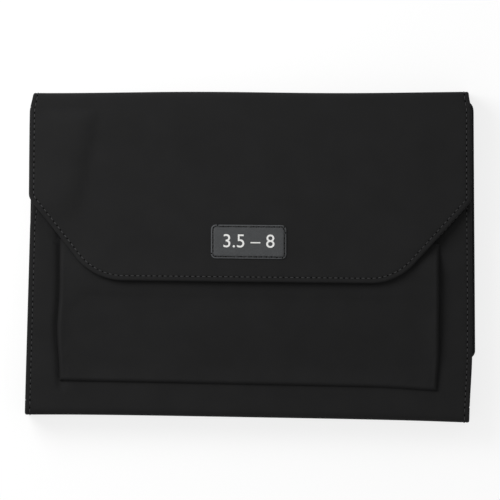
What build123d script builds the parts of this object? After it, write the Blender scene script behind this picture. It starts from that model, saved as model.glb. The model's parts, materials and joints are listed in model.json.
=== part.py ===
from build123d import *
import math
import os

# An interchangeable knitting needle set in a soft fold-over case, lying on its back, shut.
# X runs along the folds, Y up the case towards the flap's fold, Z up through its layers.
# All lengths are in millimetres.  The origin is the centre of the case's underside.

# ---------------------------------------------------------------- driving sizes
# case
case_width = 242.0            # along the folds
case_length = 177.4           # from the outside of one fold to the outside of the other
page_proud = 1.5              # what the needle page shows past the right-hand edge
back_thick = 2.4
spine_thick = 2.0
front_thick = 2.2
flap_thick = 2.2
page_thick = 1.2
hinge_reach = 1.9             # from a fold line to the centre of a panel's round edge
fold_strip_radius = 0.4       # the cloth that crosses a fold
fold_strip_inset = 3.0        # how far a fold strip stops short of each side
turned_sides = 16             # flats round a small turned piece
strip_sides = 8
corner_cut = 0.57             # of a corner's radius, cut off an arch's shoulder

# room left between pieces
layer_gap = 0.3               # between layers that part when the case opens
play = 0.3                    # round a needle in its slot
seat_gap = 0.05               # between a spigot and its cup

# flap
flap_length = 102.4           # from its fold line to its lower edge, seen from above
flap_side_length = 56.9       # from the fold line to where the sides turn into the slants
flap_slant_deg = 50.0
flap_shoulder_radius = 3.0
flap_corner_radius = 33.0
flap_crease = 51.7            # from the fold line to where the soft flap bends when lifted
flap_hinge_rise = 0.1         # of the flap's fold line over the front panel
flap_clear = 0.5              # under the flap where it passes over the pocket's crown
edge_round = 0.6

# label patch
label_width = 41.2
label_height = 19.0
label_thick = 0.9
label_corner = 2.6
label_x = -1.1
label_rise = 22.3             # of its middle above the flap's lower edge

# front panel and the pocket on it
front_length = 99.7           # from its fold line to its straight edge
ear_gap = 0.8                 # between the panel's raised corners and the flap's slants
pocket_margin = 17.25         # from the case's sides, before its shift
pocket_x = -1.05
pocket_foot = 16.8            # from the front's fold line to the pocket's lower edge
pocket_fall = 17.5            # length of the slope down to the pocket's mouth
pocket_mouth_inset = 2.5      # from the front panel's edge
pocket_depth = 3.7
pocket_cloth = 0.8
pocket_mouth_slit = 0.6
pocket_round = 2.0

# magnets
magnet_radius = 4.0
magnet_thick = 1.0
magnet_half_spacing = 34.0
magnet_rise = 5.7             # of the flap's magnets above its lower edge
magnet_slip = 3.6             # how much lower the pocket's magnets lie

# zipped pocket inside the front panel
zip_pocket_margin = 15.0      # from the case's sides
zip_pocket_foot = 3.2         # from the front's fold line to the pocket's lower end
zip_pocket_length = 87.0
zip_pocket_depth = 4.4
zip_cloth = 0.6
zip_side_cloth = 0.8

# zip
tape_thick = 0.6
chain_width = 1.7             # between the edges of the two tapes
tooth_thick = 1.2
tooth_pitch = 4.0             # along one tape
tooth_width = 1.9
tooth_reach = 1.35
chain_end_inset = 8.0
stop_length = 2.0
slider_length = 8.0
slider_plate = 0.8
slider_height = 3.6
slider_inset = 13.0           # from the pocket's right-hand end to the slider's middle
slider_ear = 0.6
slider_pin_radius = 0.4
puller_length = 14.0
puller_thick = 0.8
puller_eye_wall = 0.4
puller_play = 0.15

# needles and their slots
needle_sizes = [3.5, 4.0, 4.5, 5.0, 5.5, 6.0, 7.0, 8.0]
needle_length = 101.6
needle_foot = 35.7            # from the lower fold line to the needles' metal ends
slot_pitch = 28.4
slot_length = 69.0            # from the needles' metal ends to the slots' mouths
slot_cloth = 0.8
slot_panel_margin = 4.0       # page left bare at each side of the slots
taper_base = 9.0              # the taper's length on a needle of no thickness
taper_per_size = 2.6
taper_shoulder = 0.62         # how full the taper is at its middle
nose_base = 0.35
nose_per_size = 0.06
ferrule_length = 12.0
ferrule_neck_radius = 2.2
ferrule_neck_length = 4.0
ferrule_cone_length = 3.0
ferrule_wall = 0.4
ferrule_cup_depth = 6.0
thread_radius = 1.1
thread_depth = 5.0
key_hole_width = 0.9
key_hole_y = 2.4
binding_thick = 0.4
binding_width = 5.0

# needle page
page_low_margin = 3.7         # below the needles' metal ends
page_high_gap = 3.3           # from the upper fold line to the page's edge
page_corner = 8.0
page_left_inset = 2.0
size_strip_width = 7.0
size_strip_thick = 0.4

# small tools held by the elastic band
band_foot = 16.7              # from the lower fold line to the band's middle
band_width = 9.0
band_cloth = 0.7
band_tail = 5.0               # band past its first and last loop
cap_radius = 4.2
cap_length = 8.0
cap_stud_radius = 1.0
cap_stud_length = 4.5
cap_places = [-72.0, -58.0]
connector_radius = 2.4
connector_length = 14.0
connector_places = [-42.0, -31.0]
key_thick = 1.0
key_pin_length = 13.0
key_ring_radius = 3.3
key_ring_wall = 1.5
key_places = [-16.0, -2.0]

# ---------------------------------------------------------------- worked out from them
half_width = case_width / 2
fold_y = case_length / 2 - spine_thick / 2
flap_low_y = fold_y - flap_length
flap_shoulder_y = fold_y - flap_side_length
flap_crease_y = fold_y - flap_crease
label_y = flap_low_y + label_rise
front_edge_y = -fold_y + front_length
pocket_low_y = -fold_y + pocket_foot
pocket_mouth_y = front_edge_y - pocket_mouth_inset
pocket_crown_y = pocket_mouth_y - pocket_fall
flap_magnet_y = flap_low_y + magnet_rise
pocket_magnet_y = flap_magnet_y - magnet_slip
zip_pocket_low_y = -fold_y + zip_pocket_foot
zip_pocket_high_y = zip_pocket_low_y + zip_pocket_length
needle_low_y = -fold_y + needle_foot
slot_mouth_y = needle_low_y + slot_length
page_low_y = needle_low_y - page_low_margin
page_high_y = fold_y - page_high_gap
band_y = -fold_y + band_foot
pocket_width = case_width - 2 * pocket_margin
zip_pocket_width = case_width - 2 * zip_pocket_margin
slider_x = zip_pocket_width / 2 - slider_inset
low_fold_z = back_thick / 2
page_top = back_thick + page_thick
slot_top = page_top + max(needle_sizes) + 2 * play + slot_cloth
window_z = slot_top + layer_gap
front_z = window_z + zip_cloth + zip_pocket_depth
front_top = front_z + front_thick
front_fold_z = front_z + front_thick / 2
pocket_top = front_top + pocket_depth + pocket_cloth
flap_fold_z = front_top + flap_hinge_rise
flap_rise = pocket_top + flap_clear + flap_thick / 2 - flap_fold_z
flap_tilt = math.atan2(flap_rise, fold_y - pocket_crown_y)
strip_length = case_width - 2 * fold_strip_inset
flap_plane = Plane(
    origin=(0, fold_y, flap_fold_z),
    x_dir=(1, 0, 0),
    z_dir=(0, math.sin(flap_tilt), math.cos(flap_tilt)),
)
zip_mid_z = window_z + zip_cloth + zip_pocket_depth / 2
zip_y = zip_pocket_high_y - tape_thick / 2
needle_offsets = {"left": -1, "right": 1}


def save(node, shape):
    """Write one sub-part, with the whole set centred on its origin."""
    export_step(Pos(-page_proud / 2, 0, 0) * shape, f"parts/{node}.step")


def size_name(size):
    return f"{size:.1f}".replace(".", "_") + "mm"


def bar_along_x(radius, length, x, y, z):
    return Pos(x, y, z) * Rot(0, 90, 0) * Cylinder(radius, length)


def disc(radius, thick):
    """A low many-sided disc on the XY plane."""
    return extrude(RegularPolygon(radius, turned_sides), thick)


def turned(points):
    """Carry a half section, given as radius and height along Y, round the Y axis in flats."""

    def corner(point, k):
        angle = 2 * math.pi * (k + 0.5) / turned_sides
        return (point[0] * math.cos(angle), point[1], point[0] * math.sin(angle))

    faces = []
    for low, high in zip(points, points[1:] + points[:1]):
        if low[0] == high[0] == 0:
            continue
        for k in range(turned_sides):
            rim = [corner(low, k)]
            if low[0]:
                rim.append(corner(low, k + 1))
            if high[0]:
                rim.append(corner(high, k + 1))
            rim.append(corner(high, k))
            faces.append(Face(Wire.make_polygon(rim)))
    return Solid(Shell(faces))


def block(x0, x1, y0, y1, z0, z1):
    """A box between two corners."""
    low = (Align.MIN, Align.MIN, Align.MIN)
    return Pos(x0, y0, z0) * Box(x1 - x0, y1 - y0, z1 - z0, align=low)


def group(shapes):
    """Separate solids kept in one sub-part."""
    return Compound([solid for shape in shapes for solid in shape.solids()])


def in_flap(y):
    """The distance down the flap's own plane, from its fold line, of a place at y."""
    return -(fold_y - y) / math.cos(flap_tilt)


# ---------------------------------------------------------------- case panels
def back_panel():
    end = fold_y - hinge_reach
    panel = block(-half_width, half_width, -end, end, 0, back_thick)
    for y in (-end, end):
        panel += bar_along_x(back_thick / 2, case_width, 0, y, low_fold_z)
    return panel


def spine(y, top_fold_z):
    low = low_fold_z + hinge_reach
    high = top_fold_z - hinge_reach
    half = spine_thick / 2
    panel = block(-half_width, half_width, y - half, y + half, low, high)
    for z in (low, high):
        panel += bar_along_x(half, case_width, 0, y, z)
    return panel


def fold_strip(y, z):
    section = Plane.YZ * RegularPolygon(fold_strip_radius, strip_sides)
    return Pos(0, y, z) * extrude(section, strip_length / 2, both=True)


def front_outline():
    """The panel stops short of the flap's fold, but its two corners stand up to the slants."""
    slant = math.radians(flap_slant_deg)
    start = -fold_y + hinge_reach
    line_x = half_width + ear_gap * math.sin(slant)
    line_y = flap_shoulder_y - ear_gap * math.cos(slant)
    ear_y = line_y - (line_x - half_width) * math.tan(slant)
    ear_foot_x = line_x - (line_y - front_edge_y) / math.tan(slant)
    right = [(half_width, start), (half_width, ear_y), (ear_foot_x, front_edge_y)]
    left = [(-x, y) for x, y in reversed(right)]
    return Polygon(*right, *left, align=None)


def front_panel():
    panel = Pos(0, 0, front_z) * extrude(front_outline(), front_thick)
    y = -fold_y + hinge_reach
    return panel + bar_along_x(front_thick / 2, case_width, 0, y, front_fold_z)


def flap_lower_outline():
    """The flap below its crease, with its slanted and rounded corners, in its own plane."""
    slant = math.radians(flap_slant_deg)
    low_x = half_width - (flap_shoulder_y - flap_low_y) / math.tan(slant)
    right = [
        (low_x, in_flap(flap_low_y)),
        (half_width, in_flap(flap_shoulder_y)),
        (half_width, in_flap(flap_crease_y) - hinge_reach),
    ]
    left = [(-x, y) for x, y in reversed(right)]
    outline = Polygon(*right, *left, align=None)
    rows = outline.vertices().group_by(Axis.Y)
    outline = fillet(rows[0], flap_corner_radius)
    shoulder = in_flap(flap_shoulder_y)
    corners = outline.vertices().filter_by(lambda v: abs(v.Y - shoulder) < 0.01)
    return fillet(corners, flap_shoulder_radius)


def flap_magnet(side, radius):
    """A disc in the flap's own plane, let in from its underside."""
    place = Pos(side * magnet_half_spacing, in_flap(flap_magnet_y), -flap_thick / 2)
    return place * disc(radius, magnet_thick)


def flap_upper():
    top = -hinge_reach
    low = in_flap(flap_crease_y) + hinge_reach
    sheet = block(-half_width, half_width, low, top, -flap_thick / 2, flap_thick / 2)
    for y in (low, top):
        sheet += bar_along_x(flap_thick / 2, case_width, 0, y, 0)
    return flap_plane * sheet


def flap_lower():
    top = in_flap(flap_crease_y) - hinge_reach
    sheet = Pos(0, 0, -flap_thick / 2) * extrude(flap_lower_outline(), flap_thick)
    rim = sheet.edges().filter_by(lambda e: abs(e.center().Z) > flap_thick / 2 - 0.01)
    rim = rim.filter_by(lambda e: e.center().Y < top - 1)
    sheet = chamfer(rim, edge_round)
    sheet += bar_along_x(flap_thick / 2, case_width, 0, top, 0)
    for side in (-1, 1):
        sheet -= flap_magnet(side, magnet_radius + seat_gap)
    return flap_plane * sheet


def flap_fold_strips():
    """The cloth over the flap's fold line and over its crease."""
    return flap_plane * group([fold_strip(y, 0) for y in (0, in_flap(flap_crease_y))])


def flap_magnets():
    return flap_plane * group([flap_magnet(side, magnet_radius) for side in (-1, 1)])


def label_patch():
    outline = RectangleRounded(label_width, label_height, label_corner)
    place = Pos(label_x, in_flap(label_y), flap_thick / 2)
    return flap_plane * place * extrude(outline, label_thick)


# ---------------------------------------------------------------- pocket on the front panel
def front_pocket():
    side = Plane(origin=(0, 0, 0), x_dir=(0, 1, 0), z_dir=(1, 0, 0))
    mouth_top = front_top + pocket_mouth_slit + pocket_cloth
    outside = Polygon(
        (pocket_low_y, front_top),
        (pocket_mouth_y, front_top),
        (pocket_mouth_y, mouth_top),
        (pocket_crown_y, pocket_top),
        (pocket_low_y, pocket_top),
        align=None,
    )
    inside = Polygon(
        (pocket_low_y + pocket_cloth, front_top - 1),
        (pocket_mouth_y + 1, front_top - 1),
        (pocket_mouth_y + 1, mouth_top - pocket_cloth),
        (pocket_mouth_y, mouth_top - pocket_cloth),
        (pocket_crown_y, pocket_top - pocket_cloth),
        (pocket_low_y + pocket_cloth, pocket_top - pocket_cloth),
        align=None,
    )
    half = pocket_width / 2
    body = Pos(pocket_x, 0, 0) * extrude(side * outside, half, both=True)
    low_edge = body.edges().filter_by(Axis.X).group_by(Axis.Y)[0].sort_by(Axis.Z)[-1]
    body = fillet(low_edge, pocket_round)
    hollow = Pos(pocket_x, 0, 0) * extrude(side * inside, half - pocket_cloth, both=True)
    return body - hollow


def pocket_magnets():
    z = pocket_top - pocket_cloth - magnet_thick
    places = [Pos(side * magnet_half_spacing, pocket_magnet_y, z) for side in (-1, 1)]
    return group([place * disc(magnet_radius, magnet_thick) for place in places])


# ---------------------------------------------------------------- zipped pocket
def zip_pocket():
    half = zip_pocket_width / 2
    shell = block(-half, half, zip_pocket_low_y, zip_pocket_high_y, window_z, front_z)
    shell -= block(
        -half + zip_side_cloth,
        half - zip_side_cloth,
        zip_pocket_low_y + zip_side_cloth,
        zip_pocket_high_y + 1,
        window_z + zip_cloth,
        front_z + 1,
    )
    return shell


def zip_tape():
    half = zip_pocket_width / 2 - zip_side_cloth
    y0 = zip_pocket_high_y - tape_thick
    low = block(-half, half, y0, zip_pocket_high_y, window_z + zip_cloth, zip_mid_z - chain_width / 2)
    high = block(-half, half, y0, zip_pocket_high_y, zip_mid_z + chain_width / 2, front_z)
    return group([low, high])


def tooth(x, side):
    """A tooth whose head narrows towards the other tape, on the lower (-1) or upper tape."""
    root = side * chain_width / 2
    head = root - side * tooth_reach
    neck = root - side * tooth_reach * 0.6
    wide = tooth_width / 2
    outline = Polygon((-wide, root), (wide, root), (wide, neck), (0, head), (-wide, neck), align=None)
    upright = Plane(origin=(x, zip_y, zip_mid_z), x_dir=(1, 0, 0), z_dir=(0, -1, 0))
    return extrude(upright * outline, tooth_thick / 2, both=True)


def zip_teeth():
    reach = zip_pocket_width / 2 - chain_end_inset
    count = int(2 * reach // tooth_pitch)
    start = -count * tooth_pitch / 2
    teeth = []
    for k in range(count):
        teeth.append(tooth(start + (k + 0.25) * tooth_pitch, -1))
        teeth.append(tooth(start + (k + 0.75) * tooth_pitch, 1))
    for x in (start - stop_length, -start):
        half_y = tooth_thick / 2
        half_z = chain_width / 2
        stop = block(x, x + stop_length, zip_y - half_y, zip_y + half_y, zip_mid_z - half_z, zip_mid_z + half_z)
        teeth.append(stop)
    return group(teeth)


def slider_pin_y():
    near = zip_y + tooth_thick / 2 + layer_gap + slider_plate
    return near + layer_gap + slider_pin_radius + puller_play + puller_eye_wall


def zip_slider():
    wide = slider_height / 2
    slim = wide * 0.7
    half = slider_length / 2
    outline = Polygon((-half, -slim), (half, -wide), (half, wide), (-half, slim), align=None)
    outer_y = zip_y + tooth_thick / 2 + layer_gap
    inner_y = zip_y - tooth_thick / 2 - layer_gap
    outer = Plane(origin=(slider_x, outer_y + slider_plate, zip_mid_z), x_dir=(1, 0, 0), z_dir=(0, -1, 0))
    inner = Plane(origin=(slider_x, inner_y, zip_mid_z), x_dir=(1, 0, 0), z_dir=(0, -1, 0))
    body = extrude(outer * outline, slider_plate)
    ear_inner = puller_width() / 2 + puller_play
    ear_y = outer_y + slider_plate
    pin_y = slider_pin_y()
    ear_half = slider_pin_radius + 0.4
    for side in (-1, 1):
        z = sorted((zip_mid_z + side * ear_inner, zip_mid_z + side * (ear_inner + slider_ear)))
        body += block(slider_x - ear_half, slider_x + ear_half, ear_y, pin_y + ear_half, z[0], z[1])
    body += Pos(slider_x, pin_y, zip_mid_z) * Cylinder(slider_pin_radius, 2 * ear_inner)
    plate = extrude(inner * outline, slider_plate)
    return group([body, plate])


def puller_width():
    return slider_height - 2 * slider_ear - 4 * puller_play


def zip_puller():
    pin_y = slider_pin_y()
    bore = slider_pin_radius + puller_play
    wide = puller_width()
    blade = block(-puller_length, 0, -puller_thick / 2, puller_thick / 2, 0, wide)
    body = disc(bore + puller_eye_wall, wide) + blade - disc(bore, wide)
    return Pos(slider_x, pin_y, zip_mid_z - wide / 2) * body


# ---------------------------------------------------------------- needle page and slots
def needle_page():
    left = -half_width + page_left_inset
    right = half_width + page_proud
    height = page_high_y - page_low_y
    outline = Pos((left + right) / 2, (page_low_y + page_high_y) / 2) * Rectangle(right - left, height)
    outline = fillet(outline.vertices().group_by(Axis.Y)[0], page_corner)
    return Pos(0, 0, back_thick) * extrude(outline, page_thick)


def slot_centre(index):
    return (index - (len(needle_sizes) - 1) / 2) * slot_pitch


def arch(x, width, height, radius, base, outside=0.0):
    """A cloth arch's section, square at the foot and eased over the top, seen along Y."""
    grown = width / 2 + outside
    top = base + height + outside
    outline = Polygon((x - grown, base), (x + grown, base), (x + grown, top), (x - grown, top), align=None)
    corners = outline.vertices().group_by(Axis.Y)[-1]
    return chamfer(corners, corner_cut * (radius + outside))


def along_y(section, y0, y1):
    """Stand a section drawn in X and Z along the case from y0 to y1."""
    upright = Plane(origin=(0, y1, 0), x_dir=(1, 0, 0), z_dir=(0, -1, 0))
    return extrude(upright * section, y1 - y0)


def slot_section(index, outside):
    size = needle_sizes[index]
    width = 2 * size + 4 * play
    return arch(slot_centre(index), width, size + 2 * play, size / 2 + play, page_top, outside)


def slot_low_y():
    return needle_low_y - play - slot_cloth


def slot_panel():
    edge = half_width - page_left_inset - slot_panel_margin
    panel = block(-edge, edge, slot_low_y(), slot_mouth_y, page_top, page_top + slot_cloth)
    for index in range(len(needle_sizes)):
        panel += along_y(slot_section(index, slot_cloth), slot_low_y(), slot_mouth_y)
    for index in range(len(needle_sizes)):
        panel -= along_y(slot_section(index, 0.0), slot_low_y() + slot_cloth, slot_mouth_y + 1)
    return panel


def slot_binding():
    """A band over the slots' mouths, one saddle to each slot."""
    saddles = []
    for index in range(len(needle_sizes)):
        over = along_y(slot_section(index, slot_cloth + binding_thick), slot_mouth_y - binding_width, slot_mouth_y)
        under = along_y(slot_section(index, slot_cloth), slot_mouth_y - binding_width - 1, slot_mouth_y + 1)
        floor = page_top + slot_cloth
        low = block(-case_width, case_width, -case_length, case_length, 0, floor)
        saddles.append((over - under - low).solids()[0])
    return group(saddles)


def size_strip():
    """The flat ribbon above the slots that carries the sizes, kept clear of the needles."""
    edge = half_width - page_left_inset - slot_panel_margin
    y1 = page_high_y - slot_panel_margin
    return block(-edge, edge, y1 - size_strip_width, y1, page_top, page_top + size_strip_thick)


# ---------------------------------------------------------------- needles
def needle_place(index, side):
    size = needle_sizes[index]
    x = slot_centre(index) + needle_offsets[side] * (size / 2 + play)
    return Pos(x, needle_low_y, page_top + play + size / 2)


def shaft(size):
    """The wooden tip: a long two-step taper to a blunt nose, and a spigot for the ferrule."""
    radius = size / 2
    spigot = radius - ferrule_wall - seat_gap
    root = ferrule_length - ferrule_cup_depth + seat_gap
    taper = taper_base + taper_per_size * size
    nose = nose_base + nose_per_size * size
    points = [
        (0, root),
        (spigot, root),
        (spigot, ferrule_length),
        (radius, ferrule_length),
        (radius, needle_length - taper),
        (nose + (radius - nose) * taper_shoulder, needle_length - taper / 2),
        (nose, needle_length - nose),
        (0, needle_length),
    ]
    return turned(points)


def ferrule(size):
    radius = size / 2
    neck = min(radius, ferrule_neck_radius)
    cup = radius - ferrule_wall
    cup_floor = ferrule_length - ferrule_cup_depth
    cone_end = ferrule_neck_length + ferrule_cone_length
    points = [(thread_radius, 0), (neck, 0), (neck, ferrule_neck_length)]
    if neck < radius:
        points.append((radius, cone_end))
    points += [(radius, ferrule_length), (cup, ferrule_length), (cup, cup_floor)]
    points += [(0, cup_floor), (0, thread_depth), (thread_radius, thread_depth)]
    body = turned(points)
    return body - Pos(0, key_hole_y, 0) * Box(size + 2, key_hole_width, key_hole_width)


# ---------------------------------------------------------------- small tools and their band
def loop_section(x, radius, outside):
    return arch(x, 2 * (radius + play), 2 * (radius + play), radius + play, back_thick, outside)


def tool_places():
    """Each loop's place and the radius of what it holds."""
    places = [(x, cap_radius) for x in cap_places]
    places += [(x, connector_radius) for x in connector_places]
    return places + [(x, key_ring_radius) for x in key_places]


def elastic_band():
    low = band_y - band_width / 2
    high = band_y + band_width / 2
    ends = [x for x, radius in tool_places()]
    margin = cap_radius + band_tail
    band = block(min(ends) - margin, max(ends) + margin, low, high, back_thick, back_thick + band_cloth)
    for x, radius in tool_places():
        band += along_y(loop_section(x, radius, band_cloth), low, high)
    for x, radius in tool_places():
        band -= along_y(loop_section(x, radius, 0.0), low - 1, high + 1)
    return band


def end_cap():
    """A stop that screws to a cable: a domed button with a thin stud."""
    half = cap_length / 2
    dome = 1.2
    points = [
        (0, -half),
        (cap_radius - dome, -half),
        (cap_radius, -half + dome),
        (cap_radius, half),
        (cap_stud_radius, half),
        (cap_stud_radius, half + cap_stud_length),
        (0, half + cap_stud_length),
    ]
    return turned(points)


def end_caps():
    z = back_thick + play + cap_radius
    return group([Pos(x, band_y, z) * end_cap() for x in cap_places])


def connector():
    """A sleeve threaded at both ends, which joins two cables."""
    half = connector_length / 2
    return turned([(thread_radius, -half), (connector_radius, -half), (connector_radius, half), (thread_radius, half)])


def connectors():
    z = back_thick + play + connector_radius
    return group([Pos(x, band_y, z) * connector() for x in connector_places])


def cable_key():
    """A stamped tool: a ring to hold, and a pin that goes through a ferrule's hole."""
    half = (key_hole_width - play) / 2
    inner = key_ring_radius - key_ring_wall
    pin = block(-half, half, inner, inner + key_pin_length, 0, key_thick)
    return disc(key_ring_radius, key_thick) + pin - disc(inner, key_thick)


def cable_keys():
    z = back_thick + play
    y = band_y - key_ring_radius
    return group([Pos(x, y, z) * cable_key() for x in key_places])


# ---------------------------------------------------------------- write every sub-part
os.makedirs("parts", exist_ok=True)

save("back_panel", back_panel())
save("top_spine", spine(fold_y, flap_fold_z))
save("bottom_spine", spine(-fold_y, front_fold_z))
save("back_fold_strips", group([fold_strip(y, low_fold_z) for y in (-fold_y, fold_y)]))
save("front_fold_strip", fold_strip(-fold_y, front_fold_z))
save("flap_fold_strips", flap_fold_strips())
save("front_panel", front_panel())
save("flap_upper", flap_upper())
save("flap_lower", flap_lower())
save("flap_magnets", flap_magnets())
save("label_patch", label_patch())
save("front_pocket", front_pocket())
save("pocket_magnets", pocket_magnets())
save("zip_pocket", zip_pocket())
save("zip_tape", zip_tape())
save("zip_teeth", zip_teeth())
save("zip_slider", zip_slider())
save("zip_puller", zip_puller())
save("needle_page", needle_page())
save("slot_panel", slot_panel())
save("slot_binding", slot_binding())
save("size_strip", size_strip())
save("elastic_band", elastic_band())
save("end_caps", end_caps())
save("connectors", connectors())
save("cable_keys", cable_keys())
for index, size in enumerate(needle_sizes):
    for side in needle_offsets:
        place = needle_place(index, side)
        save(f"shaft_{size_name(size)}_{side}", place * shaft(size))
        save(f"ferrule_{size_name(size)}_{side}", place * ferrule(size))
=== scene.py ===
import json
import math

import bmesh
import bpy
import numpy as np
from mathutils import Matrix, Vector
from mathutils.geometry import delaunay_2d_cdt

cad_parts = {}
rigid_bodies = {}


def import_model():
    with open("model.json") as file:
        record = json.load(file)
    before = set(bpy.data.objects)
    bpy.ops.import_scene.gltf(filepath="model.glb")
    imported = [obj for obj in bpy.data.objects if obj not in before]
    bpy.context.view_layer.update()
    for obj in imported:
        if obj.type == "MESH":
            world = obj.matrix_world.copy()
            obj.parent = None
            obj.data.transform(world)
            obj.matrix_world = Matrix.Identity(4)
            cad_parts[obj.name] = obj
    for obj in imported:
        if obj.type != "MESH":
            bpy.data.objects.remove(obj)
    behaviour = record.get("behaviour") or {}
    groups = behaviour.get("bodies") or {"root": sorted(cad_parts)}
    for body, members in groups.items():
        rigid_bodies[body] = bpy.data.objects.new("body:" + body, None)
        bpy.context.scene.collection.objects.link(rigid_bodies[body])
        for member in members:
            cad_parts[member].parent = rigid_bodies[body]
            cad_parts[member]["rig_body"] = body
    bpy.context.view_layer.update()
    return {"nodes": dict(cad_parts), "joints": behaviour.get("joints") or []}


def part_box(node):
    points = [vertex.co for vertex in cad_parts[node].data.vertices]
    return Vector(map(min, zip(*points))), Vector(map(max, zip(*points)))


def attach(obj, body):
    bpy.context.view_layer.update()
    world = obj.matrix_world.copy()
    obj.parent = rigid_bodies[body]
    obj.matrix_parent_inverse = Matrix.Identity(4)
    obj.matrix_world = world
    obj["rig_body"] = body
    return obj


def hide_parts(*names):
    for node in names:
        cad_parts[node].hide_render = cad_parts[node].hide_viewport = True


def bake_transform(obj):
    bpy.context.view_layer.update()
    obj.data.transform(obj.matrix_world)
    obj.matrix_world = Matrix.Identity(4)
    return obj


# A soft fold-over case for screw-on knitting needle tips, lying on its back and shut.
# The frame is in metres.  Shapes are drawn in millimetres, and MM turns one into the other.

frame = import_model()
MM = 0.001


def span(node):
    """A node's lowest and highest corner, in millimetres."""
    return [np.array(corner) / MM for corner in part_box(node)]


# ---------------------------------------------------------------- sizes read from the frame
BACK_LOW, BACK_HIGH = span("back_panel")
SPINE_LOW, SPINE_HIGH = span("top_spine")
FRONT_LOW, FRONT_HIGH = span("front_panel")
POCKET_LOW, POCKET_HIGH = span("front_pocket")
PAGE_LOW, PAGE_HIGH = span("needle_page")
SLOTS_LOW, SLOTS_HIGH = span("slot_panel")

MIDDLE_X = (BACK_LOW[0] + BACK_HIGH[0]) / 2
HALF_WIDTH = (BACK_HIGH[0] - BACK_LOW[0]) / 2
LEFT_EDGE, RIGHT_EDGE = MIDDLE_X - HALF_WIDTH, MIDDLE_X + HALF_WIDTH
CASE_THICK = FRONT_HIGH[2] - FRONT_LOW[2]
SPINE_THICK = SPINE_HIGH[1] - SPINE_LOW[1]
BACK_THICK = BACK_HIGH[2] - BACK_LOW[2]

# Each fold's line and the flap's crease, as Y and Z.
JOINTS = {joint["name"]: joint for joint in frame["joints"]}
TOP_FOLD, TOP_FOOT, LOW_FOLD, LOW_FOOT, CREASE = [
    np.array(JOINTS[name]["pos_m"][1:]) / MM
    for name in ("flap_fold", "top_spine_fold", "front_fold", "bottom_spine_fold", "flap_lift")
]
FLAP_TILT = math.atan2(CREASE[1] - TOP_FOLD[1], TOP_FOLD[0] - CREASE[0])

# ---------------------------------------------------------------- sizes of the sewing
STITCH_PITCH = 3.0
STITCH_LENGTH = 1.75
THREAD = 0.52
NEEDLE_HOLE = 0.75
SEAM_INSET = 2.7
SEAM_END = 1.2  # where a row of stitches starts, from the seam that it meets
THREAD_DEPTH = 0.1  # how deep a thread's middle lies in the cloth
LINING_EDGE = 1.7  # how far the case cloth is turned over to the lined face
RIM = 1.1
RUN_ON = 60.0  # how far a free edge is drawn on past the panel
FLAP_START = 7.0  # how far the fold's cloth reaches from the fold into a panel


# ---------------------------------------------------------------- how the soft case lies
def ramp(value, start, end):
    """0 before start, 1 after end, and smooth between them."""
    t = np.clip((np.asarray(value, float) - start) / (end - start), 0, 1)
    return t * t * (3 - 2 * t)


def hump(value, width):
    """1 at 0, falling smoothly to both sides."""
    return np.exp(-((value / width) ** 2))


class Lie:
    """How one layer of the soft case lies: how far its sides stand out at the top and the foot.

    Bow bends the left side's line, tuck moves it out near the flap's shoulder, belly lets the right
    side out at mid height, and lean is how far the layer's ends run out of square.
    """

    def __init__(self, left, right, lean=1.0, bow=1.0, tuck=0.0, belly=0.0):
        self.left, self.right, self.lean = left, right, lean
        self.bow, self.tuck, self.belly = bow, tuck, belly

    def __call__(self, points):
        moved = np.array(points, float)
        x = (moved[:, 0] - MIDDLE_X) / HALF_WIDTH
        y = moved[:, 1]
        down = np.clip((TOP_FOLD[0] - y) / (TOP_FOLD[0] - LOW_FOLD[0]), 0, 1)
        left = self.left[0] + (self.left[1] - self.left[0]) * down**self.bow
        left = left + self.tuck * ramp(y, 14, 30)
        right = self.right[0] + (self.right[1] - self.right[0]) * down
        right = right + self.belly * (ramp(down, 0.1, 0.75) - ramp(down, 0.8, 1.0))
        corner = 1.4 * np.sign(x) * ramp(np.abs(x), 0.9, 1.0) * ramp(y, 78, TOP_FOLD[0])
        moved[:, 0] += left * (1 - x) / 2 + right * (1 + x) / 2 - corner
        wave = 0.95 + 0.35 * np.sin((x * HALF_WIDTH + 70) * math.pi / 80)
        foot = (0.5 + 0.8 * x**4 + 0.3 * x) * ramp(-y, 60, -LOW_FOLD[0])
        moved[:, 1] += wave * ramp(y, 60, TOP_FOLD[0]) - foot - 1.9 * self.lean * down**0.6 * x
        return moved


FLAP_LIE = Lie((0.1, -1.3), (0.6, 0.6), bow=0.35)
FRONT_LIE = Lie((1.75, -3.25), (0.6, -0.5), tuck=1.0, belly=1.35)
BACK_LIE = Lie((0.1, -3.25), (0.6, -0.5), bow=1.5)
POCKET_LIE = Lie((0.0, 0.0), (0.0, 0.0), lean=1.35)
PAGE_LIE = Lie((0.0, 0.0), (0.6, 1.7), lean=0.0)


def ripple(x, y, seed=0.0):
    """Slow unevenness of cloth that lies loose, between about -1 and 1."""
    return (
        np.sin(x / 37.0 + 1.3 + seed) * np.sin(y / 23.0 + 0.4 + 2 * seed) * 0.5
        + np.sin(x / 61.0 - y / 41.0 + 2.1 * seed) * 0.35
        + np.sin(x / 17.0 + y / 29.0 + 3.7 * seed) * 0.15
    )


# ---------------------------------------------------------------- objects and meshes
def linked(name, data):
    """A new object in the scene."""
    piece = bpy.data.objects.new(name, data)
    bpy.context.scene.collection.objects.link(piece)
    return piece


def smoothed(piece, sharp_deg=None):
    """Smooth shading, apart from the edges that turn more sharply than this."""
    piece.data.polygons.foreach_set("use_smooth", [True] * len(piece.data.polygons))
    if sharp_deg:
        piece.data.set_sharp_from_angle(angle=math.radians(sharp_deg))
    return piece


def fitted(piece, slot, body=None, *nodes):
    """Attaches a piece to the body that it rides on and hides the nodes that it stands for; its slot is not
    used.
    """
    if body:
        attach(piece, body)
    if nodes:
        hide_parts(*nodes)
    return piece


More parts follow.
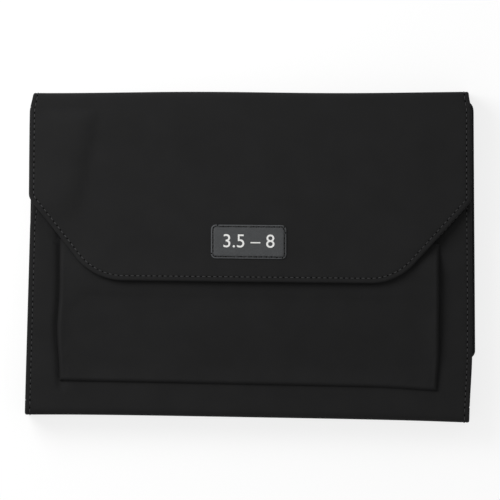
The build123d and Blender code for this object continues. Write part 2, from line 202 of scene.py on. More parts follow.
def points_of(mesh):
    """A mesh's points, in millimetres."""
    flat = np.empty(len(mesh.vertices) * 3)
    mesh.vertices.foreach_get("co", flat)
    return flat.reshape(-1, 3) / MM


def put_points(mesh, points):
    """Moves a mesh's points to places in millimetres."""
    mesh.vertices.foreach_set("co", (points * MM).ravel())
    mesh.update()


def shift(piece, x, y, z):
    """Moves a mesh by millimetres."""
    piece.data.transform(Matrix.Translation((x * MM, y * MM, z * MM)))


def mesh_object(name, points, faces, finish, cloth=None, lining=None, smooth=True):
    """A closed piece from points in millimetres, with its normals outwards.

    Cloth holds each point's place on the flat cloth, and lining picks the faces that show the lining.
    """
    mesh = bpy.data.meshes.new(name)
    mesh.from_pydata([tuple(p * MM) for p in np.asarray(points, float)], [], faces)
    mesh.materials.append(finish)
    if lining is not None:
        mesh.materials.append(LINING)
        indices = [int(k) for k in lining] + [0] * (len(faces) - len(lining))
        mesh.polygons.foreach_set("material_index", indices)
    if cloth is not None:
        layer = mesh.uv_layers.new(name="cloth")
        corners = np.empty(len(mesh.loops), int)
        mesh.loops.foreach_get("vertex_index", corners)
        layer.data.foreach_set("uv", (np.asarray(cloth, float)[corners] * MM).ravel())
    shape = bmesh.new()
    shape.from_mesh(mesh)
    bmesh.ops.remove_doubles(shape, verts=shape.verts, dist=1e-6)
    bmesh.ops.dissolve_degenerate(shape, edges=shape.edges, dist=1e-7)
    bmesh.ops.recalc_face_normals(shape, faces=shape.faces)
    if shape.calc_volume(signed=True) < 0:
        bmesh.ops.reverse_faces(shape, faces=shape.faces)
    shape.to_mesh(mesh)
    shape.free()
    piece = linked(name, mesh)
    return smoothed(piece, 55) if smooth else piece


def skin(rows, wide, first=0, ring=False, loop=False):
    """Faces between rows of points.  Each row may be a ring, and the last may join the first."""
    faces = []
    for k in range(rows if loop else rows - 1):
        a, b = first + k * wide, first + (k + 1) % rows * wide
        for j in range(wide if ring else wide - 1):
            n = (j + 1) % wide
            faces.append((a + j, a + n, b + n, b + j))
    return faces


def tube(rings, wide, first=0):
    """The closed skin of a run of rings."""
    last = first + (rings - 1) * wide
    ends = [tuple(range(first, first + wide))[::-1], tuple(range(last, last + wide))]
    return skin(rings, wide, first, ring=True) + ends


def shell(name, outer, inner, rows, wide, finish, cloth=None, lining=None):
    """A closed thin shell between two grids of points."""
    count = rows * wide
    rim = list(range(wide)) + [k * wide + wide - 1 for k in range(1, rows)]
    rim += [(rows - 1) * wide + j for j in range(wide - 2, -1, -1)]
    rim += [k * wide for k in range(rows - 2, 0, -1)]
    faces = skin(rows, wide) + skin(rows, wide, count)
    faces += [(b, a, a + count, b + count) for a, b in zip(rim, rim[1:] + rim[:1])]
    cloth = outer[:, :2] if cloth is None else cloth
    return mesh_object(name, np.vstack([outer, inner]), faces, finish, np.vstack([cloth, cloth]), lining)


# ---------------------------------------------------------------- lines and outlines
def travelled(line):
    """How far along a line each of its points is."""
    return np.concatenate([[0], np.cumsum(np.linalg.norm(np.diff(line, axis=0), axis=1))])


def headings(line):
    """The direction of a line at each of its points."""
    ahead = np.gradient(line, axis=0)
    return ahead / np.linalg.norm(ahead, axis=1)[:, None]


def closed(line):
    """A line that ends where it starts."""
    return np.vstack([line, line[:1]])


def resampled(line, step, ring=True):
    """The same line with points a step apart, with the original corners' shape kept."""
    line = closed(np.asarray(line, float)) if ring else np.asarray(line, float)
    places = travelled(line)
    count = max(int(round(places[-1] / step)), 2)
    marks = np.linspace(0, places[-1], count + 1)
    if ring:
        marks = marks[:-1]
    return np.column_stack([np.interp(marks, places, line[:, k]) for k in range(line.shape[1])])


def bezier(a, b, c, count=14):
    """A smooth bend from a to c that leans to b."""
    t = np.linspace(0, 1, count)[:, None]
    return (1 - t) ** 2 * np.array(a) + 2 * t * (1 - t) * np.array(b) + t**2 * np.array(c)


def rounded(corners, radii, step=0.8):
    """A closed outline through these corners, each rounded by its own radius."""
    corners = [np.array(c, float) for c in corners]
    points = []
    for k, corner in enumerate(corners):
        back = corners[k - 1] - corner
        ahead = corners[(k + 1) % len(corners)] - corner
        back, ahead = back / np.linalg.norm(back), ahead / np.linalg.norm(ahead)
        opening = math.acos(float(np.clip(back @ ahead, -1, 1)))
        reach = radii[k] / math.tan(opening / 2)
        middle = (back + ahead) / np.linalg.norm(back + ahead)
        centre = corner + middle * radii[k] / math.sin(opening / 2)
        start, end = corner + back * reach - centre, corner + ahead * reach - centre
        turn = math.atan2(start[0] * end[1] - start[1] * end[0], float(start @ end))
        steps = max(int(abs(turn) * radii[k] / step), 3)
        for angle in np.linspace(0, turn, steps + 1):
            c, s = math.cos(angle), math.sin(angle)
            points.append(centre + (start[0] * c - start[1] * s, start[0] * s + start[1] * c))
    return np.array(points)


def nearest(points, line):
    """Each point's distance to a line of points, and how far along the line the nearest place is."""
    starts, runs = line[:-1], np.diff(line, axis=0)
    lengths = np.maximum(np.hypot(*runs.T), 1e-9)
    before = np.concatenate([[0], np.cumsum(lengths)])[:-1]
    distance, along = np.zeros(len(points)), np.zeros(len(points))
    batch = 2000
    for first in range(0, len(points), batch):
        part = points[first : first + batch]
        offset = part[:, None] - starts[None]
        share = np.clip((offset * runs).sum(-1) / lengths**2, 0, 1)
        gap = np.hypot(*np.moveaxis(offset - share[..., None] * runs, -1, 0))
        best = gap.argmin(1)
        rows = np.arange(len(part))
        distance[first : first + batch] = gap[rows, best]
        along[first : first + batch] = before[best] + share[rows, best] * lengths[best]
    return distance, along


def inward(outline, distance):
    """The outline moved inwards, without the places where it would cross itself."""
    after = np.roll(outline, -1, axis=0)
    ahead = after - np.roll(outline, 1, axis=0)
    ahead /= np.hypot(*ahead.T)[:, None]
    area = np.sum(outline[:, 0] * after[:, 1] - outline[:, 1] * after[:, 0])
    moved = outline + np.column_stack([-ahead[:, 1], ahead[:, 0]]) * np.sign(area) * distance
    gap, _ = nearest(moved, closed(outline))
    return moved[gap > distance - 0.04]


def inside(points, outline):
    """Which points lie inside a closed outline."""
    hit = np.zeros(len(points), bool)
    for a, b in zip(outline, np.roll(outline, -1, axis=0)):
        crosses = (a[1] > points[:, 1]) != (b[1] > points[:, 1])
        if crosses.any():
            x = (b[0] - a[0]) * (points[:, 1] - a[1]) / (b[1] - a[1]) + a[0]
            hit ^= crosses & (points[:, 0] < x)
    return hit


def grid_of(across, up):
    """Every pair of a place across and a place up."""
    return np.stack(np.meshgrid(across, up), -1).reshape(-1, 2)


def filled(outline, loops, grid, fine=None):
    """A fine mesh near an outline's edge and at the fine places, and a coarse one elsewhere."""
    rings = [inward(outline, d) for d in loops]
    low, high = outline.min(0), outline.max(0)
    inner = grid_of(np.arange(low[0] + grid / 2, high[0], grid), np.arange(low[1] + grid / 2, high[1], grid))
    if fine is not None:
        inner = np.vstack([inner, fine])
    gap, _ = nearest(inner, closed(outline))
    inner = inner[(gap > max(loops) + grid * 0.6) & inside(inner, outline)]
    edges = [(k, (k + 1) % len(outline)) for k in range(len(outline))]
    points = [Vector(p) for p in np.vstack([outline, *rings, inner])]
    made = delaunay_2d_cdt(points, edges, [], 1, 1e-5)
    return np.array([tuple(p) for p in made[0]]), [tuple(f) for f in made[2]]


# ---------------------------------------------------------------- sewn panels
def rim_profile(distance):
    """How full a sewn panel is at a distance from its free edge."""
    t = np.clip(1 - distance / RIM, 0, 1)
    return np.sqrt(np.maximum(1 - t * t, 0))


def seam_dip(distance, along, inset=SEAM_INSET):
    """The furrow that a row of stitches pulls into cloth, with its small puckers."""
    off = distance - inset
    furrow = 0.26 * hump(off, 0.6) * (0.75 + 0.25 * np.cos(2 * np.pi * along / STITCH_PITCH))
    wander = 2 * np.pi * along / (2.7 * STITCH_PITCH) + 0.8 * np.sin(along / 31)
    return 0.05 * np.cos(wander) * hump(off, 3.0) - furrow


LOOPS = (0.12, 0.35, 0.7, 1.2, 1.8, 2.3, 2.7, 3.1, 3.7, 4.8)


def sewn_panel(
    name, outline, free, thick, place, finish,
    grid=5.0, step=1.0, seam=SEAM_INSET, loops=LOOPS, lined=0, fine=None,
):
    """A closed cloth panel in its own plane, rounded and stitched along its free edge.

    The face that shows the lining cloth is the upper one where lined is 1, and the lower one where it is -1.
    """
    outline = resampled(outline, step)
    flat, faces = filled(outline, loops, grid, fine)
    distance, along = nearest(flat, free)
    full = rim_profile(distance)
    dip = seam_dip(distance, along, seam) if seam else 0
    top = place(flat[:, 0], flat[:, 1], thick / 2 * full + dip)
    under = place(flat[:, 0], flat[:, 1], -thick / 2 * full - dip * 0.6)
    count, rim = len(flat), list(range(len(outline)))
    lining = None
    if lined:
        deep = [int(min(distance[k] for k in f) > LINING_EDGE) for f in faces]
        lining = [d * (lined > 0) for d in deep] + [d * (lined < 0) for d in deep]
    faces = faces + [tuple(k + count for k in reversed(f)) for f in faces]
    faces += [(a, b, b + count, a + count) for a, b in zip(rim, rim[1:] + rim[:1])]
    return mesh_object(name, np.vstack([top, under]), faces, finish, np.vstack([flat, flat]), lining)


def slanted(start, shoulder, tip):
    """A panel's corners: its sides run from start to shoulder, and slant in to the tip."""
    fall = abs(tip - shoulder)
    right, left = [[(edge, start), (edge, shoulder)] for edge in (RIGHT_EDGE, LEFT_EDGE)]
    right.append((RIGHT_EDGE - fall / math.tan(RIGHT_SLANT), tip))
    left.append((LEFT_EDGE + fall / math.tan(LEFT_SLANT), tip))
    return right + left[::-1]


def free_edge(outline, foot, far):
    """A panel's outline without its side at foot; its two ends run on to far."""
    ring = resampled(outline, 0.8)
    first = int(np.argmin(np.hypot(*(ring - (RIGHT_EDGE, foot)).T)))
    ring = np.roll(ring, -first, axis=0)
    return np.vstack([(RIGHT_EDGE, far), ring[ring[:, 1] > foot + SEAM_END], (LEFT_EDGE, far)])


def stitch_line(free, inset, place, thick):
    """The points that a row of stitches follows on a panel's upper face."""
    ahead = headings(free)
    side = np.column_stack([-ahead[:, 1], ahead[:, 0]])
    side *= np.sign(np.median(((free.mean(0) - free) * side).sum(1)))
    moved = free + side * inset
    gap, _ = nearest(moved, free)
    moved = moved[gap > inset - 0.05]
    return place(moved[:, 0], moved[:, 1], np.full(len(moved), thick / 2 - THREAD_DEPTH))


# ---------------------------------------------------------------- node trees
def _operator(operation, swapped=False):
    """A method that adds this operation's Math node."""

    def apply(self, other):
        pair = (other, self) if swapped else (self, other)
        return self.board.math(operation, *pair)

    return apply


class Signal:
    """A node's output that takes part in arithmetic as Math nodes."""

    def __init__(self, board, socket):
        self.board, self.socket = board, socket

    __add__ = __radd__ = _operator("ADD")
    __mul__ = __rmul__ = _operator("MULTIPLY")
    __sub__, __rsub__ = _operator("SUBTRACT"), _operator("SUBTRACT", True)
    __truediv__, __pow__ = _operator("DIVIDE"), _operator("POWER")


class Board:
    """A node tree that is being built."""

    def __init__(self, tree):
        self.tree = tree

    def node(self, kind, settings=None, inputs=None, output=0):
        """A new node's output; its settings come first, then its sockets' values or links."""
        node = self.tree.nodes.new(kind)
        for key, value in (settings or {}).items():
            setattr(node, key, value)
        for key, value in (inputs or {}).items():
            self.join(value, node.inputs[key])
        return Signal(self, node.outputs[output])

    def join(self, value, socket):
        if isinstance(value, Signal):
            self.tree.links.new(value.socket, socket)
        else:
            socket.default_value = value

    def math(self, operation, *values):
        return self.node("ShaderNodeMath", {"operation": operation}, dict(enumerate(values)))

    def clamp(self, value):
        return self.node("ShaderNodeClamp", {}, {"Value": value})


class Finish(Board):
    """A material being built round one surface shader."""

    def __init__(self, name, **constants):
        self.material = bpy.data.materials.new(name)
        self.material.use_nodes = True
        super().__init__(self.material.node_tree)
        self.surface = self.tree.nodes["Principled BSDF"]
        self.feed(**constants)

    def place(self, kind="Object"):
        """The point's coordinates, as a vector."""
        return self.node("ShaderNodeTexCoord", {}, {}, kind)

    def axes(self, kind="Object"):
        """The point's three coordinates."""
        parts = self.node("ShaderNodeSeparateXYZ", {}, {0: self.place(kind)}).socket.node
        return [Signal(self, parts.outputs[k]) for k in range(3)]

    def noise(self, scale, detail=2.0, vector=None):
        inputs = {"Vector": vector or self.place(), "Scale": scale, "Detail": detail}
        return self.node("ShaderNodeTexNoise", {}, inputs)

    def feed(self, **signals):
        for key, value in signals.items():
            self.join(value, self.surface.inputs[key.replace("_", " ")])

    def dress(self, tone, dark, light, **signals):
        """Feeds a colour between two by tone, and the other signals."""
        inputs = {0: tone, 6: (*dark, 1), 7: (*light, 1)}
        self.feed(Base_Color=self.node("ShaderNodeMix", {"data_type": "RGBA"}, inputs, 2), **signals)
        return self.material

    def relief(self, height, depth_mm, strength=1.0):
        inputs = {"Height": height, "Distance": depth_mm * MM, "Strength": strength}
        return self.node("ShaderNodeBump", {}, inputs)


# ---------------------------------------------------------------- finishes
def woven(name, dark, light, thread_mm, roughness, relief_mm):
    """A plain weave that follows the piece's own cloth coordinates."""
    finish = Finish(name, Specular_IOR_Level=0.12)
    u, v, _ = finish.axes("UV")
    turn = 2 * math.pi / (thread_mm * MM)
    weave = finish.math("SINE", u * turn) * finish.math("SINE", v * turn)
    patches = finish.noise(60.0, 3.0)
    tone = finish.clamp(patches * 1.6 - 0.3 + weave * 0.12)
    rough = patches * 0.1 + (roughness - 0.05)
    return finish.dress(tone, dark, light, Roughness=rough, Normal=finish.relief(weave, relief_mm))


def ribbed(name, dark, light, rib_mm):
    """Grosgrain tape or elastic, with ribs across it."""
    finish = Finish(name, Specular_IOR_Level=0.14)
    ribs = finish.math("SINE", finish.axes("UV")[0] * (2 * math.pi / (rib_mm * MM)))
    patches = finish.noise(90.0)
    tone = finish.clamp(ribs * 0.35 + patches * 0.5 + 0.2)
    return finish.dress(tone, dark, light, Roughness=patches * 0.1 + 0.7, Normal=finish.relief(ribs, 0.12))


def thread_finish(name, dark, light, shine=0.3):
    """Twisted sewing thread."""
    finish = Finish(name, Specular_IOR_Level=shine)
    x, y, z = finish.axes()
    twist = finish.math("SINE", (x + y + z) * 9000.0)
    return finish.dress(finish.clamp(twist * 0.4 + 0.5), dark, light, Roughness=twist * 0.05 + 0.6)


def leather_finish(name, dark, light, stitch_inset):
    """Faux leather with a pebbled grain, with painted shade along the furrow under its stitches and a painted
    highlight along its edge.
    """
    finish = Finish(name, Specular_IOR_Level=0.4)
    inputs = {"Vector": finish.place(), "Scale": 1500.0}
    cells = finish.node("ShaderNodeTexVoronoi", {"feature": "DISTANCE_TO_EDGE"}, inputs)
    grain = finish.clamp(cells * 3.0) * 0.6 + finish.noise(260.0, 4.0) * 0.4
    inset, _, _ = finish.axes("UV")
    # Two bands measured from the edge: painted shade along the stitch furrow, and a painted highlight at the
    # rim.
    painted_groove_shade, rim = [
        finish.clamp(1.0 - (inset - middle * MM) ** 2.0 * (1 / (width * MM) ** 2))
        for middle, width in ((stitch_inset, 0.62), (0.3, 0.45))
    ]
    tone = finish.clamp(grain * 0.5 + 0.25 + rim * 0.42 - painted_groove_shade * 0.7)
    return finish.dress(tone, dark, light, Roughness=0.66 - grain * 0.12, Normal=finish.relief(grain, 0.12))


def wood_finish(name, dark, light):
    """Polished hardwood, with its grain along the needle."""
    finish = Finish(name, Coat_Weight=0.35, Coat_Roughness=0.2)
    inputs = {"Vector": finish.place(), "Scale": (900.0, 28.0, 900.0)}
    stretched = finish.node("ShaderNodeMapping", {}, inputs)
    grain = finish.noise(1.0, 5.0, stretched)
    pores = finish.noise(2.6, 2.0, stretched)
    tone = finish.clamp((grain - 0.5) * 1.9 + 0.5)
    relief = finish.relief(pores, 0.03, 0.5)
    return finish.dress(tone, dark, light, Roughness=0.3 + pores * 0.16, Normal=relief)


def turned_steel(name, shade, roughness, lines=5200.0):
    """Satin metal with fine marks round it."""
    finish = Finish(name, Metallic=1.0)
    _, y, _ = finish.axes()
    patches = finish.noise(420.0, 3.0)
    marks = finish.math("SINE", y * lines + patches * 5.0)
    tone = finish.clamp(patches + marks * 0.1)
    rough = roughness + marks * 0.03 + patches * 0.08
    return finish.dress(tone, (shade * 0.82,) * 3, (shade,) * 3, Roughness=rough)


def enamel_finish(name, dark, rubbed):
    """Enamelled zip metal that shows a little metal where it rubs."""
    finish = Finish(name, Specular_IOR_Level=0.5)
    wear = finish.noise(700.0, 4.0)
    tone = finish.clamp((wear - 0.62) * 9.0)
    return finish.dress(tone, dark, rubbed, Roughness=0.34 + wear * 0.15, Metallic=tone * 0.6)


def plastic_finish(name, dark, light):
    """Moulded plastic with a faint grain."""
    finish = Finish(name, Specular_IOR_Level=0.5)
    grain = finish.noise(1600.0)
    return finish.dress(grain, dark, light, Roughness=0.3 + grain * 0.12, Normal=finish.relief(grain, 0.02))


def print_finish(name, dark, light):
    """Printing ink, a little uneven."""
    finish = Finish(name, Specular_IOR_Level=0.3)
    wear = finish.noise(1400.0, 3.0)
    return finish.dress(wear, dark, light, Roughness=wear * 0.2 + 0.5)


LABEL_INSET = 1.05
CASE_CLOTH = woven("case_cloth", (0.0117, 0.0117, 0.0119), (0.0154, 0.0154, 0.0157), 0.34, 0.82, 0.035)
LINING = woven("lining_cloth", (0.024, 0.024, 0.0258), (0.033, 0.033, 0.0352), 0.42, 0.85, 0.04)
TAPE = ribbed("binding_tape", (0.010, 0.010, 0.0105), (0.020, 0.020, 0.021), 0.9)
ELASTIC = ribbed("elastic", (0.009, 0.009, 0.0095), (0.022, 0.022, 0.0225), 0.7)
THREAD_FINISH = thread_finish("sewing_thread", (0.023, 0.023, 0.0235), (0.054, 0.054, 0.055))
DARK_THREAD = thread_finish("label_thread", (0.004, 0.004, 0.004), (0.011, 0.011, 0.0115))
# Near-black painted shade for the needle holes: it stands in for the shade inside each hole.
HOLE_SHADE_FINISH = thread_finish("needle_holes", (0.001, 0.001, 0.001), (0.003, 0.003, 0.003), 0.0)
# Label leather, with painted shade at its stitch furrow and a painted highlight at its rim.
LEATHER = leather_finish("label_leather", (0.020, 0.0212, 0.0225), (0.066, 0.0695, 0.073), LABEL_INSET)
WOOD = wood_finish("needle_wood", (0.36, 0.17, 0.062), (0.68, 0.43, 0.21))
STEEL = turned_steel("ferrule_steel", 0.62, 0.3)
MAGNET = turned_steel("magnet_steel", 0.66, 0.18, 900.0)
ENAMEL = enamel_finish("zip_metal", (0.014, 0.014, 0.015), (0.12, 0.12, 0.125))
PLASTIC = plastic_finish("cap_plastic", (0.013, 0.013, 0.014), (0.02, 0.02, 0.021))
PRINT = print_finish("number_print", (0.62, 0.62, 0.61), (0.86, 0.86, 0.84))


# ---------------------------------------------------------------- Geometry Nodes
def opened_tree(name, inputs):
    """A tree with named inputs: its board, and a signal for each input."""
    tree = bpy.data.node_groups.new(name, "GeometryNodeTree")
    for label, kind in inputs.items():
        tree.interface.new_socket(label, in_out="INPUT", socket_type="NodeSocket" + kind)
    tree.interface.new_socket("Geometry", in_out="OUTPUT", socket_type="NodeSocketGeometry")
    board = Board(tree)
    given = tree.nodes.new("NodeGroupInput")
    return board, [Signal(board, given.outputs[k]) for k in range(len(inputs))]


def closed_tree(board, shape, finish, chosen=True):
    """Ends a tree: its shape made real, with the finish on the chosen faces."""
    real = board.node("GeometryNodeRealizeInstances", {}, {0: shape})
    inputs = {"Geometry": real, "Selection": chosen, "Material": finish}
    out = board.tree.nodes.new("NodeGroupOutput")
    board.join(board.node("GeometryNodeSetMaterial", {}, inputs), out.inputs[0])
    return board.tree


def repeat_tree():
    """A tree that sets one unit along every line it is given, a pitch apart."""
    kinds = {"Lines": "Geometry", "Pitch": "Float", "Unit": "Object", "Finish": "Material"}
    board, (lines, pitch, unit, finish) = opened_tree("set_along_lines", kinds)
    curve = board.node("GeometryNodeMeshToCurve", {}, {0: lines})
    even = board.node("GeometryNodeResampleCurve", {"mode": "LENGTH"}, {"Curve": curve, "Length": pitch})
    align = "FunctionNodeAlignRotationToVector"
    turned_to = board.node(align, {"axis": "X"}, {"Vector": board.node("GeometryNodeInputTangent")})
    settings = {"axis": "Z", "pivot_axis": "X"}
    upright = board.node(align, settings, {"Rotation": turned_to, "Vector": (0, 0, 1)})
    shape = board.node("GeometryNodeObjectInfo", {}, {"Object": unit}, "Geometry")
    inputs = {"Points": even, "Instance": shape, "Rotation": upright}
    placed = board.node("GeometryNodeInstanceOnPoints", {}, inputs)
    # Faces marked own_finish keep their own material; in the stitch unit these are the needle holes' painted
    # shade.
    own = board.node("GeometryNodeInputNamedAttribute", {"data_type": "BOOLEAN"}, {"Name": "own_finish"})
    rest = board.node("FunctionNodeBooleanMath", {"operation": "NOT"}, {0: own})
    return closed_tree(board, placed, finish, rest)


def tip_tree():
    """A wooden tip whose section follows one rule: a straight shaft, a long taper and a blunt nose."""
    kinds = {name: "Float" for name in ("Start", "End", "Radius", "Taper", "Nose")}
    kinds["Finish"] = "Material"
    board, (start, end, radius, taper, nose, finish) = opened_tree("needle_tip", kinds)
    points = [board.node("ShaderNodeCombineXYZ", {}, {1: y}) for y in (start, end)]
    line = board.node("GeometryNodeCurvePrimitiveLine", {}, {"Start": points[0], "End": points[1]})
    run = board.node("GeometryNodeResampleCurve", {"mode": "COUNT"}, {"Curve": line, "Count": 140})
    y = board.node("ShaderNodeSeparateXYZ", {}, {0: board.node("GeometryNodeInputPosition")}, 1)
    share = board.clamp((y - end + taper) / taper)
    slope = nose + (radius - nose) * (1 - share**1.5)
    dome = board.math("SQRT", board.clamp(1.0002 - (1 - board.clamp((end - y) / nose)) ** 2.0))
    girth = board.node("GeometryNodeSetCurveRadius", {}, {"Curve": run, "Radius": slope * dome})
    ring = board.node("GeometryNodeCurvePrimitiveCircle", {}, {"Resolution": 24, "Radius": 1.0})
    inputs = {"Curve": girth, "Profile Curve": ring, "Fill Caps": True}
    inputs["Scale"] = board.node("GeometryNodeInputRadius")
    swept = board.node("GeometryNodeCurveToMesh", {}, inputs)
    return closed_tree(board, board.node("GeometryNodeSetShadeSmooth", {}, {0: swept}), finish)


def made_real(host, name):
    """The plain mesh that a host's modifiers make, as a new object in the host's place."""
    bpy.context.view_layer.update()
    shown = host.evaluated_get(bpy.context.evaluated_depsgraph_get())
    mesh = bpy.data.meshes.new_from_object(shown)
    bpy.data.objects.remove(host)
    mesh.name = name
    return linked(name, mesh)


def grown(name, tree, values, points=(), edges=()):
    """What a tree makes of points and edges, with its inputs given by name before it first runs."""
    mesh = bpy.data.meshes.new(name)
    mesh.from_pydata(points, edges, [])
    host = linked(name + "_host", mesh)
    modifier = host.modifiers.new(tree.name, "NODES")
    modifier.node_group = tree
    for item in tree.interface.items_tree:
        if item.in_out == "INPUT" and item.name in values:
            modifier[item.identifier] = values[item.name]
    return made_real(host, name)


REPEAT, TIP = repeat_tree(), tip_tree()


def set_along(name, lines, unit, pitch, finish):
    """Copies of a unit along lines in millimetres, joined into one plain mesh."""
    points, edges = [], []
    for line in lines:
        first = len(points)
        points += [tuple(np.asarray(p) * MM) for p in line]
        edges += [(first + k, first + k + 1) for k in range(len(line) - 1)]
    return grown(name, REPEAT, {"Pitch": pitch * MM, "Unit": unit, "Finish": finish}, points, edges)


def thread_unit():
    """One stitch: thread that dives into the cloth at both ends, and after it a shallow plug at the needle's
    hole, coloured near-black as painted shade.
    """
    ring, sections = 6, 5
    turn = [2 * math.pi * k / ring for k in range(ring)]
    points = []
    for t in np.linspace(0, 1, sections):
        bulge = math.sin(math.pi * t)
        x, lift, radius = (t - 0.5) * STITCH_LENGTH, 0.22 * bulge - 0.12, THREAD / 2 * (0.55 + 0.45 * bulge)
        points += [(x, radius * math.cos(a), lift + radius * math.sin(a)) for a in turn]
    # The needle's hole: a shallow plug whose near-black colour is painted shade.
    for level, share in ((-0.3, 1.0), (0.0, 1.0), (0.03, 0.6)):
        across = NEEDLE_HOLE / 2 * share
        points += [(STITCH_PITCH / 2 + 1.3 * across * math.cos(a), across * math.sin(a), level) for a in turn]
    thread, hole = tube(sections, ring), tube(3, ring, sections * ring)
    unit = mesh_object("stitch_unit", points, thread + hole, THREAD_FINISH)
    unit.data.materials.append(HOLE_SHADE_FINISH)
    own = [0] * len(thread) + [1] * len(hole)
    unit.data.attributes.new("own_finish", "BOOLEAN", "FACE").data.foreach_set("value", own)
    unit.data.polygons.foreach_set("material_index", own)
    unit.hide_render = True
    return unit


STITCH = thread_unit()


def stitches(name, lines, body, slot="case_cloth", thread=THREAD_FINISH, pitch=STITCH_PITCH, under=False):
    """Rows of stitches along lines, on top of the cloth or on its underside."""
    flip = (1, 1, -1 if under else 1)
    lines = [np.asarray(line, float) * flip for line in lines]
    piece = smoothed(set_along(name, lines, STITCH, pitch, thread))
    if under:
        piece.data.transform(Matrix.Diagonal((*flip, 1)))
        piece.data.flip_normals()
    return fitted(piece, slot, body)


def row(start, end, count):
    """A straight row of points for stitches."""
    return np.linspace(start, end, count)


# ---------------------------------------------------------------- the flap
LEFT_SLANT, RIGHT_SLANT = math.radians(52.0), math.radians(48.0)
FLAP_SHOULDER_Y, FLAP_TIP_Y = 30.8, -14.7
FLAP_CORNER, SHOULDER_ROUND = 33.0, 6.0
DOWN_FLAP = np.array([-math.cos(FLAP_TILT), math.sin(FLAP_TILT)])


def down_flap(y):
    """Distance from the top fold along the flap, of a place at Y."""
    return (TOP_FOLD[0] - y) / math.cos(FLAP_TILT)


def flap_swell(past):
    """The flap's left side swells to a crown, and falls to a soft crease at 0."""
    crown, height = -10.5, 2.1
    fall = 1 - (np.clip(past - crown, 0, -crown) / crown) ** 2
    return height * np.where(past < crown, 0.35 + 0.65 * hump(past - crown, 15.0), fall)


def on_flap(x, down, lift):
    """A point on the flap: down from the top fold, and lifted from its middle plane."""
    y = TOP_FOLD[0] - down * math.cos(FLAP_TILT)
    loose = ramp(down, FLAP_START, 32)
    sag_depth, sag_middle, sag_reach = 1.3, 42, 22
    flatter = 1 - 0.35 * ((x - MIDDLE_X) / HALF_WIDTH) ** 2
    sag = -sag_depth * loose * hump(down - sag_middle, sag_reach) * flatter
    waves = 0.45 * ripple(x, y, 0.6) * loose
    crease_x, crease_y, crease_lean = -90.4, 38.7, 0.165
    past = x - crease_x - (y - crease_y) * crease_lean
    swell = flap_swell(past) * ramp(y, 14, 34) * ramp(down, FLAP_START, 15)
    curl = 0.8 * ramp(down, 84, 102)
    z = TOP_FOLD[1] + down * math.sin(FLAP_TILT) + sag + waves + swell + curl + lift
    return FLAP_LIE(np.column_stack([x, y + lift * math.sin(FLAP_TILT), z]))


def flap():
    """The flap's cloth with its topstitching."""
    corners = slanted(FLAP_START, down_flap(FLAP_SHOULDER_Y), down_flap(FLAP_TIP_Y))
    outline = rounded(corners, [0.3, SHOULDER_ROUND, FLAP_CORNER, FLAP_CORNER, SHOULDER_ROUND, 0.3])
    free = free_edge(outline, FLAP_START, -RUN_ON)
    cloth = sewn_panel("flap_cloth", outline, free, CASE_THICK, on_flap, CASE_CLOTH, grid=3.0, lined=-1)
    thread = stitches("flap_topstitch", [stitch_line(free[1:-1], SEAM_INSET, on_flap, CASE_THICK)], None)
    for piece in (cloth, thread):
        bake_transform(piece)
    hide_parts("flap_upper", "flap_lower")


# ---------------------------------------------------------------- cloth round the folds
def spread(x, y, z, along):
    """One point for each place along, from coordinates that may be single numbers."""
    return np.column_stack([np.broadcast_to(v, along.shape) for v in (x, y, z)])


def strip(name, path, marks, to_space, thick, finish, round_ends=True, seam=False):
    """A sheet whose middle follows a path in two axes, and which runs along marks in the third.

    With a seam it has a furrow near both of its sides on the outer face, and the lining cloth inside.
    """
    path = np.asarray(path, float)
    ahead, places = headings(path), travelled(path)
    outward = np.column_stack([ahead[:, 1], -ahead[:, 0]])
    thick = np.interp(places / places[-1], np.linspace(0, 1, np.size(thick)), np.atleast_1d(thick))
    edge = np.minimum(marks - marks[0], marks[-1] - marks)
    full = rim_profile(edge * RIM / (thick.mean() / 2)) if round_ends else np.ones(len(marks))
    faces = []
    for side in (1, -1):
        lines = []
        for k, along in enumerate(places):
            offset = side * full * thick[k] / 2
            if seam and side < 0:
                offset = offset - seam_dip(edge, along) * ramp(edge, 0, SEAM_END)
            a, b = [path[k, axis] + outward[k, axis] * offset for axis in (0, 1)]
            lines.append(to_space(a, b, marks))
        faces.append(np.vstack(lines))
    rows, wide = len(path), len(marks)
    cloth = np.column_stack([np.tile(marks, rows), np.repeat(places, wide)])
    deep = np.minimum(edge[:-1], edge[1:]) > LINING_EDGE
    return shell(name, *faces, rows, wide, finish, cloth, np.tile(deep, rows - 1) if seam else None)


def wrapped(piece, path, lie):
    """Lays a flat piece round a path: its Y runs along the path, and its Z stands out from it."""
    before, after = path[0] - path[1], path[-1] - path[-2]
    path = np.vstack([path[0] + before * 3, path, path[-1] + after * 3])
    ahead, places = headings(path), travelled(path)
    places -= places[1]
    out = np.column_stack([-ahead[:, 1], ahead[:, 0]])
    flat = points_of(piece.data)
    middle, away = [
        np.column_stack([np.interp(flat[:, 1], places, rows[:, k]) for k in (0, 1)]) for rows in (path, out)
    ]
    put_points(piece.data, lie(np.column_stack([flat[:, 0], middle + away * flat[:, 2:]])))


def case_marks():
    """Places across the case, close together near its sides."""
    edge = np.array([0, 0.1, 0.3, 0.6, 1.0, 1.6, 2.1, 2.4, 2.7, 3.0, 3.4, 4.2])
    inner = np.arange(-HALF_WIDTH + 8, HALF_WIDTH - 7.9, 4.0)
    return np.concatenate([-HALF_WIDTH + edge, inner, (HALF_WIDTH - edge)[::-1]]) + MIDDLE_X


